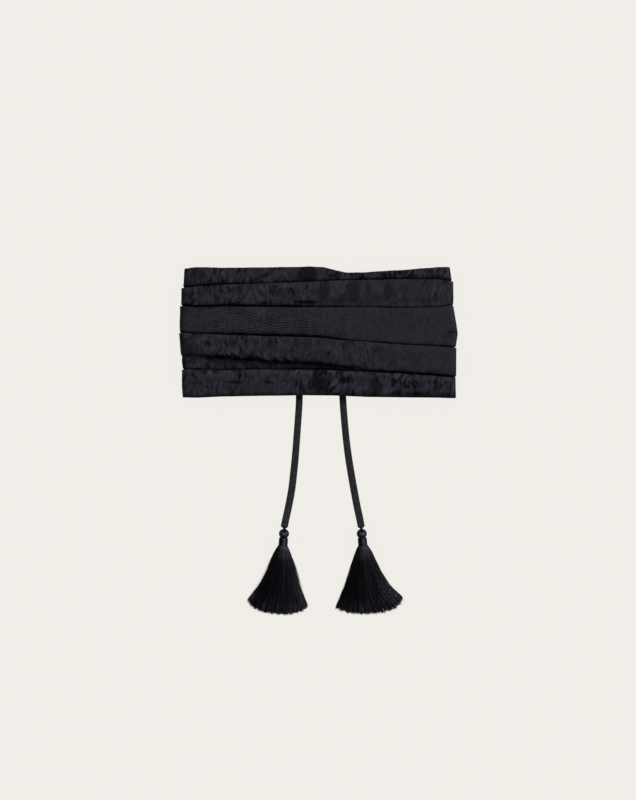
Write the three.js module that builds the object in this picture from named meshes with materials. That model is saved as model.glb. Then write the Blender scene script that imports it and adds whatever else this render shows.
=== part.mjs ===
// A pleated moiré waist sash with two tasselled ribbon ties. It is closed to a loop as round a waist
// and laid flat on its back. Millimetres, +Z up. The origin is on the surface it lies on, under the
// middle of the band. +X runs along the band, and the ties leave the band towards -Y.
import * as THREE from 'three';

const { lerp, smoothstep, degToRad } = THREE.MathUtils;

// The band's cloth and the flattened loop it makes
const clothWall = 1.4; // cloth and backing, where no fold lies over them
const pleatRise = 1.6; // how far a fold edge stands over the pleat above it
const foldStep = 0.3; // width of the step up at a fold edge
const foldStart = 0.55; // share of the rise that the step up at a fold edge makes
const foldRound = 1.0; // a fold edge reaches its full rise this far below its line
const pleatFlat = 0.28; // share of a pleat that keeps the full rise, below its fold edge
const pleatLower = 0.65; // share of a pleat where it has come down to riseLower
const riseLower = 0.5;
const hollowMiddle = 6.5; // room between the front and the back, at the middle
const hollowSide = 8.0; // the same room beside the two side folds
const hollowGrowsFrom = 60; // distance from the middle where the room starts to grow
const hollowGrowsTo = 150; // and where it has its full height
const wingEndLeft = -29.4; // the two ends of the band at the centre back
const wingEndRight = 36.2;

// How finely the band is divided, in segments
const wingSegments = 6;
const sideSegments = 6;
const frontSegments = 26;

// The lines that run along the band on its front, as heights above the middle: the top edge, the fold
// edges of pleats 2 to 5, and the hem
const frontLines = [
  { x: -173, top: 82.6, fold2: 59.6, fold3: 35.3, fold4: 0.4, fold5: -46.4, hem: -84.2 },
  { x: -158, top: 84.0, fold2: 61.2, fold3: 33.0, fold4: -0.4, fold5: -46.8, hem: -84.5 },
  { x: -125, top: 83.4, fold2: 63.0, fold3: 35.0, fold4: -1.7, fold5: -47.7, hem: -83.0 },
  { x: -63, top: 83.8, fold2: 65.0, fold3: 34.0, fold4: -3.6, fold5: -46.5, hem: -82.1 },
  { x: -16, top: 84.8, fold2: 67.0, fold3: 33.9, fold4: -4.9, fold5: -46.4, hem: -81.4 },
  { x: 5, top: 84.3, fold2: 67.6, fold3: 33.9, fold4: -5.7, fold5: -46.4, hem: -81.5 },
  { x: 20, top: 80.9, fold2: 68.4, fold3: 33.9, fold4: -7.5, fold5: -47.0, hem: -81.8 },
  { x: 36, top: 76.9, fold2: 68.9, fold3: 33.9, fold4: -9.2, fold5: -47.9, hem: -82.3 },
  { x: 62, top: 77.4, fold2: 69.5, fold3: 33.9, fold4: -10.7, fold5: -48.8, hem: -83.5 },
  { x: 108, top: 80.3, fold2: 70.2, fold3: 32.8, fold4: -14.6, fold5: -51.8, hem: -84.0 },
  { x: 155, top: 83.9, fold2: 70.2, fold3: 34.0, fold4: -16.7, fold5: -55.3, hem: -84.5 },
  { x: 174, top: 84.4, fold2: 67.6, fold3: 36.0, fold4: -18.6, fold5: -57.0, hem: -85.1 },
];
// The same lines where the band ends at the centre back. It is a little narrower there, so that the
// front covers it.
const wingEndLines = {
  left: { top: 76, fold2: 48, fold3: 19, fold4: -13, fold5: -45, hem: -76 },
  right: { top: 73, fold2: 48, fold3: 19, fold4: -14, fold5: -46, hem: -77 },
};
const lineNames = ['top', 'fold2', 'fold3', 'fold4', 'fold5', 'hem'];

// How far each pleat reaches out at the side folds: at its fold edge, at pleatLower, and at its end
const sideReach = [
  { left: [173.4, 174.3, 175.5], right: [170.0, 171.5, 172.9] },
  { left: [177.2, 177.5, 177.9], right: [174.3, 174.8, 174.2] },
  { left: [179.1, 179.6, 179.5], right: [174.4, 180.3, 177.3] },
  { left: [180.4, 178.3, 175.7], right: [178.1, 178.2, 178.2] },
  { left: [176.6, 176.9, 175.7], right: [177.4, 177.6, 178.1] },
];

// The soft fold in the left half of pleat 4: a swell with a valley under it
const softFold = {
  pleat: 3, // counted from 0 at the top
  valleyAt: 0.86, // share of the pleat's height, with the swell at pleatLower
  riseAtValley: 0.25, // share of the rise there, where the fold has gone
  swellRise: 0.4, // how much higher the swell is, as a share of the rise
  valleyDepth: 0.2, // and how much lower the valley
  fadesAt: -5, // places along the band
  goneAt: 40,
};

// The ties: flat ribbon, its route along the middle of the ribbon from the band's end to the tassel.
// The first six points lie under the band, and the last four rise to the height of the tassel's head.
const tieWidth = 8.6;
const tieThickness = 0.9;
const tieEdge = 0.3; // how much of each edge is rounded off
const tieSteps = 30;
const tieRoutes = {
  left: [
    { x: -24.8, y: 4.0, z: 1.5 },
    { x: -24.9, y: -10.0, z: 0.9 },
    { x: -24.9, y: -20.0, z: 0.7 },
    { x: -24.9, y: -35.0, z: 0.7 },
    { x: -24.8, y: -55.0, z: 0.7 },
    { x: -24.8, y: -75.0, z: 0.7 },
    { x: -24.9, y: -90.4, z: 0.7 },
    { x: -26.4, y: -113.7, z: 0.7 },
    { x: -28.1, y: -137.0, z: 0.7 },
    { x: -29.9, y: -160.3, z: 0.7 },
    { x: -32.2, y: -183.6, z: 0.7 },
    { x: -35.1, y: -206.9, z: 0.8 },
    { x: -38.0, y: -222.5, z: 1.2 },
    { x: -39.6, y: -230.5, z: 2.0 },
    { x: -41.3, y: -238.0, z: 3.2 },
    { x: -42.9, y: -245.5, z: 4.5 },
    { x: -44.1, y: -251.4, z: 5.6 },
  ],
  right: [
    { x: 31.6, y: 4.0, z: 1.5 },
    { x: 31.4, y: -10.0, z: 0.9 },
    { x: 31.3, y: -20.0, z: 0.7 },
    { x: 31.2, y: -35.0, z: 0.7 },
    { x: 31.2, y: -55.0, z: 0.7 },
    { x: 31.3, y: -75.0, z: 0.7 },
    { x: 32.0, y: -90.4, z: 0.7 },
    { x: 33.8, y: -113.7, z: 0.7 },
    { x: 36.0, y: -137.0, z: 0.7 },
    { x: 38.9, y: -160.3, z: 0.7 },
    { x: 42.6, y: -183.6, z: 0.7 },
    { x: 46.7, y: -206.9, z: 0.8 },
    { x: 49.6, y: -222.5, z: 1.2 },
    { x: 51.2, y: -230.5, z: 2.0 },
    { x: 52.9, y: -238.0, z: 3.2 },
    { x: 54.4, y: -245.5, z: 4.5 },
    { x: 55.5, y: -251.4, z: 5.6 },
  ],
};

// The tassels. Each is drawn about its own axis, from the top of its head downwards.
const axisHeight = 6.6; // the head's axis over the surface
const tasselPlaces = {
  left: { x: -44.0, y: -254.3, turn: -5 },
  right: { x: 55.7, y: -254.3, turn: 5 },
};
// Head and neck: radius at each distance down. It starts at the bottom of the hole for the loop.
const headRows = [
  { down: 2.4, radius: 0.8 },
  { down: 2.2, radius: 2.1 },
  { down: 0.5, radius: 2.5 },
  { down: 0.0, radius: 3.4 },
  { down: 1.4, radius: 5.2 },
  { down: 4.2, radius: 6.3 },
  { down: 7.0, radius: 6.45 },
  { down: 9.8, radius: 6.0 },
  { down: 11.8, radius: 5.4 },
  { down: 12.4, radius: 5.0 },
  { down: 22.8, radius: 5.0 },
];
// Skirt: its left and right edge at each distance down, how thick it is and how far off the surface
const skirtRows = {
  left: [
    { down: 25.3, left: -7.9, right: 7.9, thick: 11.6, lift: 0.8 },
    { down: 33.0, left: -11.5, right: 11.8, thick: 10.8, lift: 0.5 },
    { down: 43.0, left: -15.0, right: 15.7, thick: 9.6, lift: 0.3 },
    { down: 58.0, left: -19.2, right: 21.3, thick: 8.2, lift: 0.1 },
    { down: 75.0, left: -26.5, right: 27.6, thick: 6.8, lift: 0.1 },
    { down: 86.0, left: -33.4, right: 33.2, thick: 6.0, lift: 0.1 },
    { down: 97.0, left: -40.5, right: 39.4, thick: 5.2, lift: 0.1 },
    { down: 113.0, left: -50.5, right: 49.5, thick: 4.4, lift: 0.1 },
  ],
  right: [
    { down: 25.3, left: -7.9, right: 8.2, thick: 11.6, lift: 0.8 },
    { down: 33.0, left: -11.8, right: 12.0, thick: 10.8, lift: 0.5 },
    { down: 43.0, left: -15.9, right: 15.3, thick: 9.6, lift: 0.3 },
    { down: 58.0, left: -21.6, right: 20.6, thick: 8.2, lift: 0.1 },
    { down: 75.0, left: -29.3, right: 30.2, thick: 6.8, lift: 0.1 },
    { down: 84.0, left: -34.4, right: 37.5, thick: 6.2, lift: 0.1 },
    { down: 92.0, left: -39.0, right: 46.0, thick: 5.6, lift: 0.1 },
    { down: 113.0, left: -51.5, right: 66.0, thick: 4.4, lift: 0.1 },
  ],
};
// Where the skirt's locks end: at its middle, and at its left and right edge
const skirtEnds = {
  left: { middle: 112.6, left: 97.0, right: 97.5 },
  right: { middle: 112.2, left: 99.5, right: 92.0 },
};
const lockCount = 11;
const lockValley = 0.74; // share of the thickness that is left between two locks
const lockNotch = 2.5; // how much sooner the thread between two locks ends
const lockUneven = 1.2; // how much the locks' own ends vary
const lockTurn = 5; // radians from one lock to the next in the wave that varies them
const endSquare = 2.3; // how far the skirt's end runs level before it turns up to its edges
const edgeThin = 0.8; // how much the skirt thins towards its two edges
const laidAfter = 30; // length over which the skirt settles from the neck's height onto the surface
const seamAngle = 6; // degrees between the head's side and its first corner
// Neck binding and loop
const bindingGap = 0.3;
const bindingFrom = 12.8;
const bindingTo = 22.4;
const bindingRadius = 5.95;
const bindingRound = 0.3;
const bindingSides = 20;
const neckRadius = 5.0;
const loopRadius = 1.2;
const loopCord = 0.7;
const loopDown = -0.2;
const loopSegments = 14;
const loopCordSides = 8;

const cloth = new THREE.MeshStandardMaterial({ color: 0x24262c, roughness: 0.5, metalness: 0 });
const ribbon = new THREE.MeshStandardMaterial({ color: 0x2a2b31, roughness: 0.6, metalness: 0 });
const thread = new THREE.MeshStandardMaterial({ color: 0x111216, roughness: 0.4, metalness: 0 });

// A value between the rows of a table, by the column that orders them
function fromTable(rows, key, at, column) {
  if (at <= rows[0][key]) return rows[0][column];
  for (let i = 1; i < rows.length; i++) {
    const before = rows[i - 1];
    const after = rows[i];
    if (at <= after[key]) {
      const share = (at - before[key]) / (after[key] - before[key]);
      return lerp(before[column], after[column], share);
    }
  }
  return rows[rows.length - 1][column];
}

function solidMesh(vertices, triangles) {
  const geometry = new THREE.BufferGeometry();
  geometry.setAttribute('position', new THREE.Float32BufferAttribute(vertices.flat(), 3));
  geometry.setIndex(triangles.flat());
  geometry.computeVertexNormals();
  return geometry;
}

// The four corners in turn, seen from outside, as two triangles
function quad(a, b, c, d) {
  return [[a, b, c], [a, c, d]];
}

// The stations along the band, from its left end at the back, round the left side fold, along the
// front, round the right side fold and back to its right end
function bandStations() {
  const stations = [];
  for (let i = 0; i < wingSegments; i++) stations.push({ on: 'leftWing', share: i / wingSegments });
  for (let i = 0; i < sideSegments; i++) stations.push({ on: 'leftSide', share: i / sideSegments });
  for (let i = 0; i <= frontSegments; i++) stations.push({ on: 'front', share: i / frontSegments });
  for (let i = 1; i <= sideSegments; i++) stations.push({ on: 'rightSide', share: i / sideSegments });
  for (let i = 1; i <= wingSegments; i++) stations.push({ on: 'rightWing', share: i / wingSegments });
  return stations;
}

// The rows across the band's outer face, from the top edge to the hem. Each pleat steps up at its
// fold edge, stays level for a while and then slopes down to the cloth under the next fold edge.
function outerRows() {
  const rows = [];
  for (let pleat = 0; pleat < lineNames.length - 1; pleat++) {
    rows.push({ pleat, share: 0, shift: pleat === 0 ? 0 : foldStep, rise: foldStart });
    rows.push({ pleat, share: 0, shift: foldRound, rise: 1 });
    rows.push({ pleat, share: pleatFlat, shift: 0, rise: 1 });
    rows.push({ pleat, share: pleatLower, shift: 0, rise: riseLower });
    if (pleat === softFold.pleat) {
      rows.push({ pleat, share: softFold.valleyAt, shift: 0, rise: softFold.riseAtValley });
    }
    rows.push({ pleat, share: 1, shift: 0, rise: 0 });
  }
  return rows;
}

// The inner face is smooth, with one row at each line
function innerRows() {
  return lineNames.map((name, i) => {
    if (i === lineNames.length - 1) return { pleat: i - 1, share: 1, shift: 0, rise: 0 };
    return { pleat: i, share: 0, shift: 0, rise: 1 };
  });
}

function reachOf(row, side) {
  const [atFold, lower, atEnd] = sideReach[row.pleat][side];
  if (row.share < pleatLower) return lerp(atFold, lower, row.share / pleatLower);
  return lerp(lower, atEnd, (row.share - pleatLower) / (1 - pleatLower));
}

function lineHeight(name, station, x) {
  if (station.on === 'front') return fromTable(frontLines, 'x', x, name);
  const atLeft = frontLines[0][name];
  const atRight = frontLines[frontLines.length - 1][name];
  if (station.on === 'leftSide') return atLeft;
  if (station.on === 'rightSide') return atRight;
  if (station.on === 'leftWing') return lerp(wingEndLines.left[name], atLeft, station.share);
  return lerp(atRight, wingEndLines.right[name], station.share);
}

function riseOf(row, station, x) {
  if (station.on !== 'front' || row.pleat !== softFold.pleat) return row.rise;
  const strength = 1 - smoothstep(x, softFold.fadesAt, softFold.goneAt);
  if (row.share === pleatLower) return row.rise + softFold.swellRise * strength;
  if (row.share === softFold.valleyAt) return row.rise - softFold.valleyDepth * strength;
  return row.rise;
}

// A point of the band: on the outer face, or on the inner face if outside is false
function bandPoint(station, row, outside) {
  const innerSide = hollowSide / 2;
  const wallHere = clothWall + row.rise * pleatRise;
  const leftCentre = -reachOf(row, 'left') + wallHere + innerSide;
  const rightCentre = reachOf(row, 'right') - wallHere - innerSide;
  const back = clothWall + pleatRise;
  const radius = innerSide + (outside ? wallHere : 0);
  let x;
  let z;
  if (station.on === 'leftWing') {
    x = lerp(wingEndLeft, leftCentre, station.share);
    z = back + innerSide - radius;
  } else if (station.on === 'leftSide') {
    x = leftCentre - radius * Math.sin(Math.PI * station.share);
    z = back + innerSide - radius * Math.cos(Math.PI * station.share);
  } else if (station.on === 'front') {
    x = lerp(leftCentre, rightCentre, station.share);
    const room = lerp(hollowMiddle, hollowSide, smoothstep(Math.abs(x), hollowGrowsFrom, hollowGrowsTo));
    const wallAtX = clothWall + riseOf(row, station, x) * pleatRise;
    z = back + room + (outside ? wallAtX : 0);
  } else if (station.on === 'rightSide') {
    x = rightCentre + radius * Math.sin(Math.PI * station.share);
    z = back + innerSide + radius * Math.cos(Math.PI * station.share);
  } else {
    x = lerp(rightCentre, wingEndRight, station.share);
    z = back + innerSide - radius;
  }
  const above = lineHeight(lineNames[row.pleat], station, x);
  const below = lineHeight(lineNames[row.pleat + 1], station, x);
  return [x, lerp(above, below, row.share) - row.shift, z];
}

function pleatedBand() {
  const stations = bandStations();
  const outer = outerRows();
  const inner = innerRows();
  const vertices = [];
  const perStation = outer.length + inner.length;
  for (const station of stations) {
    for (const row of outer) vertices.push(bandPoint(station, row, true));
    for (const row of inner) vertices.push(bandPoint(station, row, false));
  }
  const outerAt = (i, j) => i * perStation + j;
  const innerAt = (i, j) => i * perStation + outer.length + j;
  const triangles = [];
  const lastOuter = outer.length - 1;
  const lastInner = inner.length - 1;
  for (let i = 0; i < stations.length - 1; i++) {
    for (let j = 0; j < lastOuter; j++) {
      triangles.push(...quad(outerAt(i, j), outerAt(i, j + 1), outerAt(i + 1, j + 1), outerAt(i + 1, j)));
    }
    for (let j = 0; j < lastInner; j++) {
      triangles.push(...quad(innerAt(i, j), innerAt(i + 1, j), innerAt(i + 1, j + 1), innerAt(i, j + 1)));
    }
    triangles.push(...quad(outerAt(i, 0), outerAt(i + 1, 0), innerAt(i + 1, 0), innerAt(i, 0)));
    const hemHere = [outerAt(i, lastOuter), innerAt(i, lastInner)];
    const hemNext = [innerAt(i + 1, lastInner), outerAt(i + 1, lastOuter)];
    triangles.push(...quad(...hemHere, ...hemNext));
  }
  // The two ends at the centre back
  for (const [i, flip] of [[0, false], [stations.length - 1, true]]) {
    const rim = [];
    for (let j = 0; j <= lastOuter; j++) rim.push(outerAt(i, j));
    for (let j = lastInner; j >= 0; j--) rim.push(innerAt(i, j));
    const flat = rim.map((v) => new THREE.Vector2(vertices[v][1], vertices[v][2]));
    for (const [a, b, c] of THREE.ShapeUtils.triangulateShape(flat, [])) {
      triangles.push(flip ? [rim[c], rim[b], rim[a]] : [rim[a], rim[b], rim[c]]);
    }
  }
  return solidMesh(vertices, triangles);
}

function tie(route) {
  const halfWidth = tieWidth / 2;
  const halfThick = tieThickness / 2;
  const section = new THREE.Shape([
    new THREE.Vector2(halfWidth - tieEdge, -halfThick),
    new THREE.Vector2(halfWidth, -halfThick + tieEdge),
    new THREE.Vector2(halfWidth, halfThick - tieEdge),
    new THREE.Vector2(halfWidth - tieEdge, halfThick),
    new THREE.Vector2(-halfWidth + tieEdge, halfThick),
    new THREE.Vector2(-halfWidth, halfThick - tieEdge),
    new THREE.Vector2(-halfWidth, -halfThick + tieEdge),
    new THREE.Vector2(-halfWidth + tieEdge, -halfThick),
  ]);
  const path = new THREE.CatmullRomCurve3(route.map((p) => new THREE.Vector3(p.x, p.y, p.z)));
  return new THREE.ExtrudeGeometry(section, { steps: tieSteps, extrudePath: path, bevelEnabled: false });
}

// The places across a tassel, from its left edge to its right one, lock by lock: each lock has a
// valley on either side and its crest between them
function lockPlaces() {
  const places = [];
  for (let n = 0; n <= 2 * lockCount; n++) {
    places.push({ share: n / (2 * lockCount), valley: n % 2 === 0, lock: Math.floor(n / 2) });
  }
  return places;
}

// The upper and lower point of the round head or neck at a place across it
function headPoints(row, place) {
  const angle = lerp(degToRad(seamAngle), Math.PI - degToRad(seamAngle), place.share);
  const x = -row.radius * Math.cos(angle);
  const half = row.radius * Math.sin(angle);
  return { upper: [x, -row.down, axisHeight + half], lower: [x, -row.down, axisHeight - half] };
}

// The upper and lower point of the skirt at a place across it. The middle locks reach furthest down.
function skirtPoints(side, row, place) {
  const rows = skirtRows[side];
  const ends = skirtEnds[side];
  const off = 2 * place.share - 1;
  const uneven = place.valley ? -lockNotch : lockUneven * Math.sin(lockTurn * place.lock);
  const end = lerp(ends.middle, off < 0 ? ends.left : ends.right, Math.abs(off) ** endSquare) + uneven;
  const start = rows[0].down;
  const down = lerp(start, end, (row.down - start) / (rows[rows.length - 1].down - start));
  const left = fromTable(rows, 'down', down, 'left');
  const right = fromTable(rows, 'down', down, 'right');
  const full = fromTable(rows, 'down', down, 'thick');
  const thick = full * Math.sqrt(1 - edgeThin * off * off);
  const laid = smoothstep(down, start, start + laidAfter);
  const middle = fromTable(rows, 'down', down, 'lift') + lerp(full, thick, laid) / 2;
  const half = ((place.valley ? lockValley : 1) * thick) / 2;
  const x = lerp(left, right, place.share);
  return { upper: [x, -down, middle + half], lower: [x, -down, middle - half] };
}

// A tassel: its head and neck with the locks of its skirt fused to them, through one ring a row
function tassel(side) {
  const places = lockPlaces();
  const count = places.length;
  const rings = [
    ...headRows.map((row) => places.map((place) => headPoints(row, place))),
    ...skirtRows[side].map((row) => places.map((place) => skirtPoints(side, row, place))),
  ];
  const vertices = rings.flatMap((ring) => [...ring.map((p) => p.upper), ...ring.map((p) => p.lower)]);
  const upperAt = (k, n) => k * 2 * count + n;
  const lowerAt = (k, n) => upperAt(k, n) + count;
  const lastRing = rings.length - 1;
  const lastPlace = count - 1;
  const triangles = [];
  for (let k = 0; k < lastRing; k++) {
    for (let n = 0; n < lastPlace; n++) {
      triangles.push(...quad(upperAt(k, n), upperAt(k + 1, n), upperAt(k + 1, n + 1), upperAt(k, n + 1)));
      triangles.push(...quad(lowerAt(k, n), lowerAt(k, n + 1), lowerAt(k + 1, n + 1), lowerAt(k + 1, n)));
    }
    triangles.push(...quad(upperAt(k, 0), lowerAt(k, 0), lowerAt(k + 1, 0), upperAt(k + 1, 0)));
    const [upper, lower] = [upperAt(k, lastPlace), lowerAt(k, lastPlace)];
    triangles.push(...quad(upper, upperAt(k + 1, lastPlace), lowerAt(k + 1, lastPlace), lower));
  }
  for (let n = 0; n < lastPlace; n++) {
    triangles.push(...quad(upperAt(0, n), upperAt(0, n + 1), lowerAt(0, n + 1), lowerAt(0, n)));
    const [upper, lower] = [upperAt(lastRing, n), lowerAt(lastRing, n)];
    triangles.push(...quad(upper, lower, lower + 1, upper + 1));
  }
  return solidMesh(vertices, triangles);
}

// A body turned about the tassel's axis, from distances down and radii
function turned(profile, sides) {
  const points = profile.map((p) => new THREE.Vector2(p.radius, -p.down));
  const geometry = new THREE.LatheGeometry(points, sides);
  geometry.translate(0, 0, axisHeight);
  return geometry;
}

function binding() {
  const inside = neckRadius + bindingGap;
  return turned([
    { down: bindingTo, radius: inside },
    { down: bindingTo, radius: bindingRadius - bindingRound },
    { down: bindingTo - bindingRound, radius: bindingRadius },
    { down: bindingFrom + bindingRound, radius: bindingRadius },
    { down: bindingFrom, radius: bindingRadius - bindingRound },
    { down: bindingFrom, radius: inside },
    { down: bindingTo, radius: inside },
  ], bindingSides);
}

function tasselLoop() {
  const geometry = new THREE.TorusGeometry(loopRadius, loopCord, loopCordSides, loopSegments);
  geometry.translate(0, -loopDown, axisHeight);
  return geometry;
}

function named(name, geometry, material) {
  const mesh = new THREE.Mesh(geometry, material);
  mesh.name = name;
  return mesh;
}

const sash = new THREE.Group();
sash.add(named('pleated_band', pleatedBand(), cloth));
for (const side of ['left', 'right']) {
  sash.add(named(`${side}_tie`, tie(tieRoutes[side]), ribbon));
  const hung = new THREE.Group();
  hung.position.set(tasselPlaces[side].x, tasselPlaces[side].y, 0);
  hung.rotation.z = degToRad(tasselPlaces[side].turn);
  hung.add(named(`${side}_tassel_loop`, tasselLoop(), thread));
  hung.add(named(`${side}_tassel`, tassel(side), thread));
  hung.add(named(`${side}_tassel_binding`, binding(), thread));
  sash.add(hung);
}

export default sash;
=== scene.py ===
import math

import bpy
import numpy as np
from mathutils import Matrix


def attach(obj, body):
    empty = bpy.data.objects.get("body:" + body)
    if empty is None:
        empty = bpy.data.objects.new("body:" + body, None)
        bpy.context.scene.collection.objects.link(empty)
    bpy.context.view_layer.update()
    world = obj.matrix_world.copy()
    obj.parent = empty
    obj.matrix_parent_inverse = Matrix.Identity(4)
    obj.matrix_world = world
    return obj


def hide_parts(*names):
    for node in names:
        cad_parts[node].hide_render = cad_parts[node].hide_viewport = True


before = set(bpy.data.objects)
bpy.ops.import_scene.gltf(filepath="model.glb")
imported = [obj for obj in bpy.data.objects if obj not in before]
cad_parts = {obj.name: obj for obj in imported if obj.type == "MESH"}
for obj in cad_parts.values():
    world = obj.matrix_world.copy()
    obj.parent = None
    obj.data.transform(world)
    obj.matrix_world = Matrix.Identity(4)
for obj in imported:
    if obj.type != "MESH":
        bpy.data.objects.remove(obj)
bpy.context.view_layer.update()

# A pleated black moire waist sash with two tasselled ribbon ties, closed to a loop and laid flat on
# its back. Sizes in the dictionaries are millimetres in the model's own frame: +X runs along the
# band, the ties leave it towards -Y, and z = 0 is the surface that it lies on.
mm = 0.001
pieces = []
sides = ("left", "right")


# sRGB hex to linear colour, by the standard curve
def linearColour(code):
    parts = [int(code[i:i + 2], 16) / 255 for i in (1, 3, 5)]
    return tuple(c / 12.92 if c <= 0.04045 else ((c + 0.055) / 1.055) ** 2.4 for c in parts) + (1.0,)


# Gives each input of a node a value or a link from another node's output
def setInputs(tree, node, inputs):
    for key, value in inputs.items():
        if isinstance(value, bpy.types.NodeSocket):
            tree.links.new(value, node.inputs[key])
        else:
            node.inputs[key].default_value = value


# Adds a node with its settings and inputs, and returns one of its outputs
def addNode(tree, kind, settings=None, inputs=None, output=0):
    node = tree.nodes.new(kind)
    for key, value in (settings or {}).items():
        setattr(node, key, value)
    setInputs(tree, node, inputs or {})
    return node.outputs[output]


def newMaterial(name):
    material = bpy.data.materials.new(name)
    material.use_nodes = True
    tree = material.node_tree
    shader = next(n for n in tree.nodes if n.type == "BSDF_PRINCIPLED")
    return material, tree, shader


# Smooth rise from 0 to 1 between two values: 3t^2 - 2t^3
def smoothStep(value, low, high):
    t = np.clip((value - low) / (high - low), 0, 1)
    return t * t * (3 - 2 * t)


def blend(a, b, share):
    return a + (b - a) * share


# Smooth noise from -1 to 1: a seeded grid of values, blended between its points by a smooth step
def softNoise(x, y, cellX, cellY, seed):
    grid = np.random.default_rng(seed).uniform(-1, 1, (128, 128))
    gx, gy = np.broadcast_arrays(x / cellX, y / cellY)
    ix, iy = np.floor(gx).astype(int), np.floor(gy).astype(int)
    fx, fy = smoothStep(gx - ix, 0, 1), smoothStep(gy - iy, 0, 1)
    low = blend(grid[ix % 128, iy % 128], grid[(ix + 1) % 128, iy % 128], fx)
    high = blend(grid[ix % 128, (iy + 1) % 128], grid[(ix + 1) % 128, (iy + 1) % 128], fx)
    return blend(low, high, fy)


# One column of a table whose rows are dictionaries, read at any place by straight blending
def column(rows, key, name, at):
    return np.interp(at, [r[key] for r in rows], [r[name] for r in rows])


# Quads between the points of a grid of rows x columns; either direction may close on itself
def gridFaces(rows, columns, closeRows=False, closeColumns=False):
    i = np.arange(rows if closeRows else rows - 1)[:, None]
    j = np.arange(columns if closeColumns else columns - 1)[None, :]
    i2, j2 = (i + 1) % rows, (j + 1) % columns
    corners = [i * columns + j, i * columns + j2, i2 * columns + j2, i2 * columns + j]
    return np.stack(np.broadcast_arrays(*corners), axis=-1).reshape(-1, 4)


# The two faces that close a tube of so many rings, with so many points a ring
def endCaps(rings, around):
    ring = np.arange(around)[None, :]
    return [ring[:, ::-1], ring + (rings - 1) * around]


# A mesh object from points in millimetres and arrays of faces, one face a row
def addPiece(name, points, faces, uv=None, attributes=None):
    mesh = bpy.data.meshes.new(name)
    places = np.asarray(points, float).reshape(-1, 3) * mm
    corners = np.concatenate([f.reshape(-1) for f in faces]).astype(np.int32)
    counts = np.concatenate([np.full(len(f), f.shape[1]) for f in faces]).astype(np.int32)
    mesh.vertices.add(len(places))
    mesh.vertices.foreach_set("co", places.reshape(-1).astype(np.float32))
    mesh.loops.add(len(corners))
    mesh.loops.foreach_set("vertex_index", corners)
    mesh.polygons.add(len(counts))
    mesh.polygons.foreach_set("loop_start", (np.cumsum(counts) - counts).astype(np.int32))
    mesh.polygons.foreach_set("loop_total", counts)
    mesh.polygons.foreach_set("use_smooth", np.full(len(counts), True))
    mesh.update(calc_edges=True)
    if uv is not None:
        layer = mesh.uv_layers.new(name="clothUV")
        patternPlaces = (uv.reshape(-1, 2) * mm)[corners]
        layer.data.foreach_set("uv", patternPlaces.reshape(-1).astype(np.float32))
    for key, values in (attributes or {}).items():
        attribute = mesh.attributes.new(key, "FLOAT", "POINT")
        values = np.broadcast_to(values, np.shape(points)[:-1])
        attribute.data.foreach_set("value", values.reshape(-1).astype(np.float32))
    mesh.validate()
    piece = bpy.data.objects.new(name, mesh)
    bpy.context.scene.collection.objects.link(piece)
    pieces.append(piece)
    return piece


# Turns a closed mesh's faces outwards, by the sign of its volume
def faceOutwards(piece):
    mesh = piece.data
    mesh.calc_loop_triangles()
    corners = np.empty(len(mesh.loop_triangles) * 3, np.int32)
    mesh.loop_triangles.foreach_get("vertices", corners)
    places = np.empty(len(mesh.vertices) * 3, np.float32)
    mesh.vertices.foreach_get("co", places)
    triangles = places.reshape(-1, 3)[corners.reshape(-1, 3)].astype(float)
    a, b, c = triangles[:, 0], triangles[:, 1], triangles[:, 2]
    if np.einsum("ij,ij->i", a, np.cross(b, c)).sum() < 0:
        mesh.flip_normals()


# Points along one smooth curve through the given ones, evenly spaced: Catmull-Rom tangents, cubic spans
def smoothRoute(points, count):
    p = np.asarray(points, float)
    gaps = np.linalg.norm(np.diff(p, axis=0), axis=1)
    at = np.concatenate([[0], np.cumsum(gaps)])
    slope = np.gradient(p, at, axis=0)
    fine = np.linspace(0, at[-1], 40 * len(p))
    k = np.clip(np.searchsorted(at, fine, side="right") - 1, 0, len(p) - 2)
    h = gaps[k][:, None]
    t = ((fine - at[k]) / gaps[k])[:, None]
    curve = ((2 * t**3 - 3 * t**2 + 1) * p[k] + (t**3 - 2 * t**2 + t) * h * slope[k]
             + (3 * t**2 - 2 * t**3) * p[k + 1] + (t**3 - t**2) * h * slope[k + 1])
    length = np.concatenate([[0], np.cumsum(np.linalg.norm(np.diff(curve, axis=0), axis=1))])
    even = np.linspace(0, length[-1], count)
    return np.stack([np.interp(even, length, curve[:, c]) for c in range(3)], axis=1)


cameraView = dict(
    photo=(636, 800),  # the photograph's size in pixels
    scale=1.295,  # millimetres a pixel, from a flat width of 360
    centre=(-0.5, -87.8, 12.0),  # what the middle of the photograph shows
    lens=100.0,
    sensor=36.0,
)


# Straight overhead, so high that the photograph's height fills the picture
def addCamera(view):
    high = view["photo"][1] * view["scale"] * mm
    camera = bpy.data.cameras.new("camera")
    camera.lens = view["lens"]
    camera.sensor_width = view["sensor"]
    camera.sensor_fit = "AUTO"
    camera.clip_end = 50
    seen = bpy.data.objects.new("camera", camera)
    x, y, z = view["centre"]
    seen.location = (x * mm, y * mm, z * mm + high * view["lens"] / view["sensor"])
    bpy.context.scene.collection.objects.link(seen)
    bpy.context.scene.camera = seen


addCamera(cameraView)
print("camera done")


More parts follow.
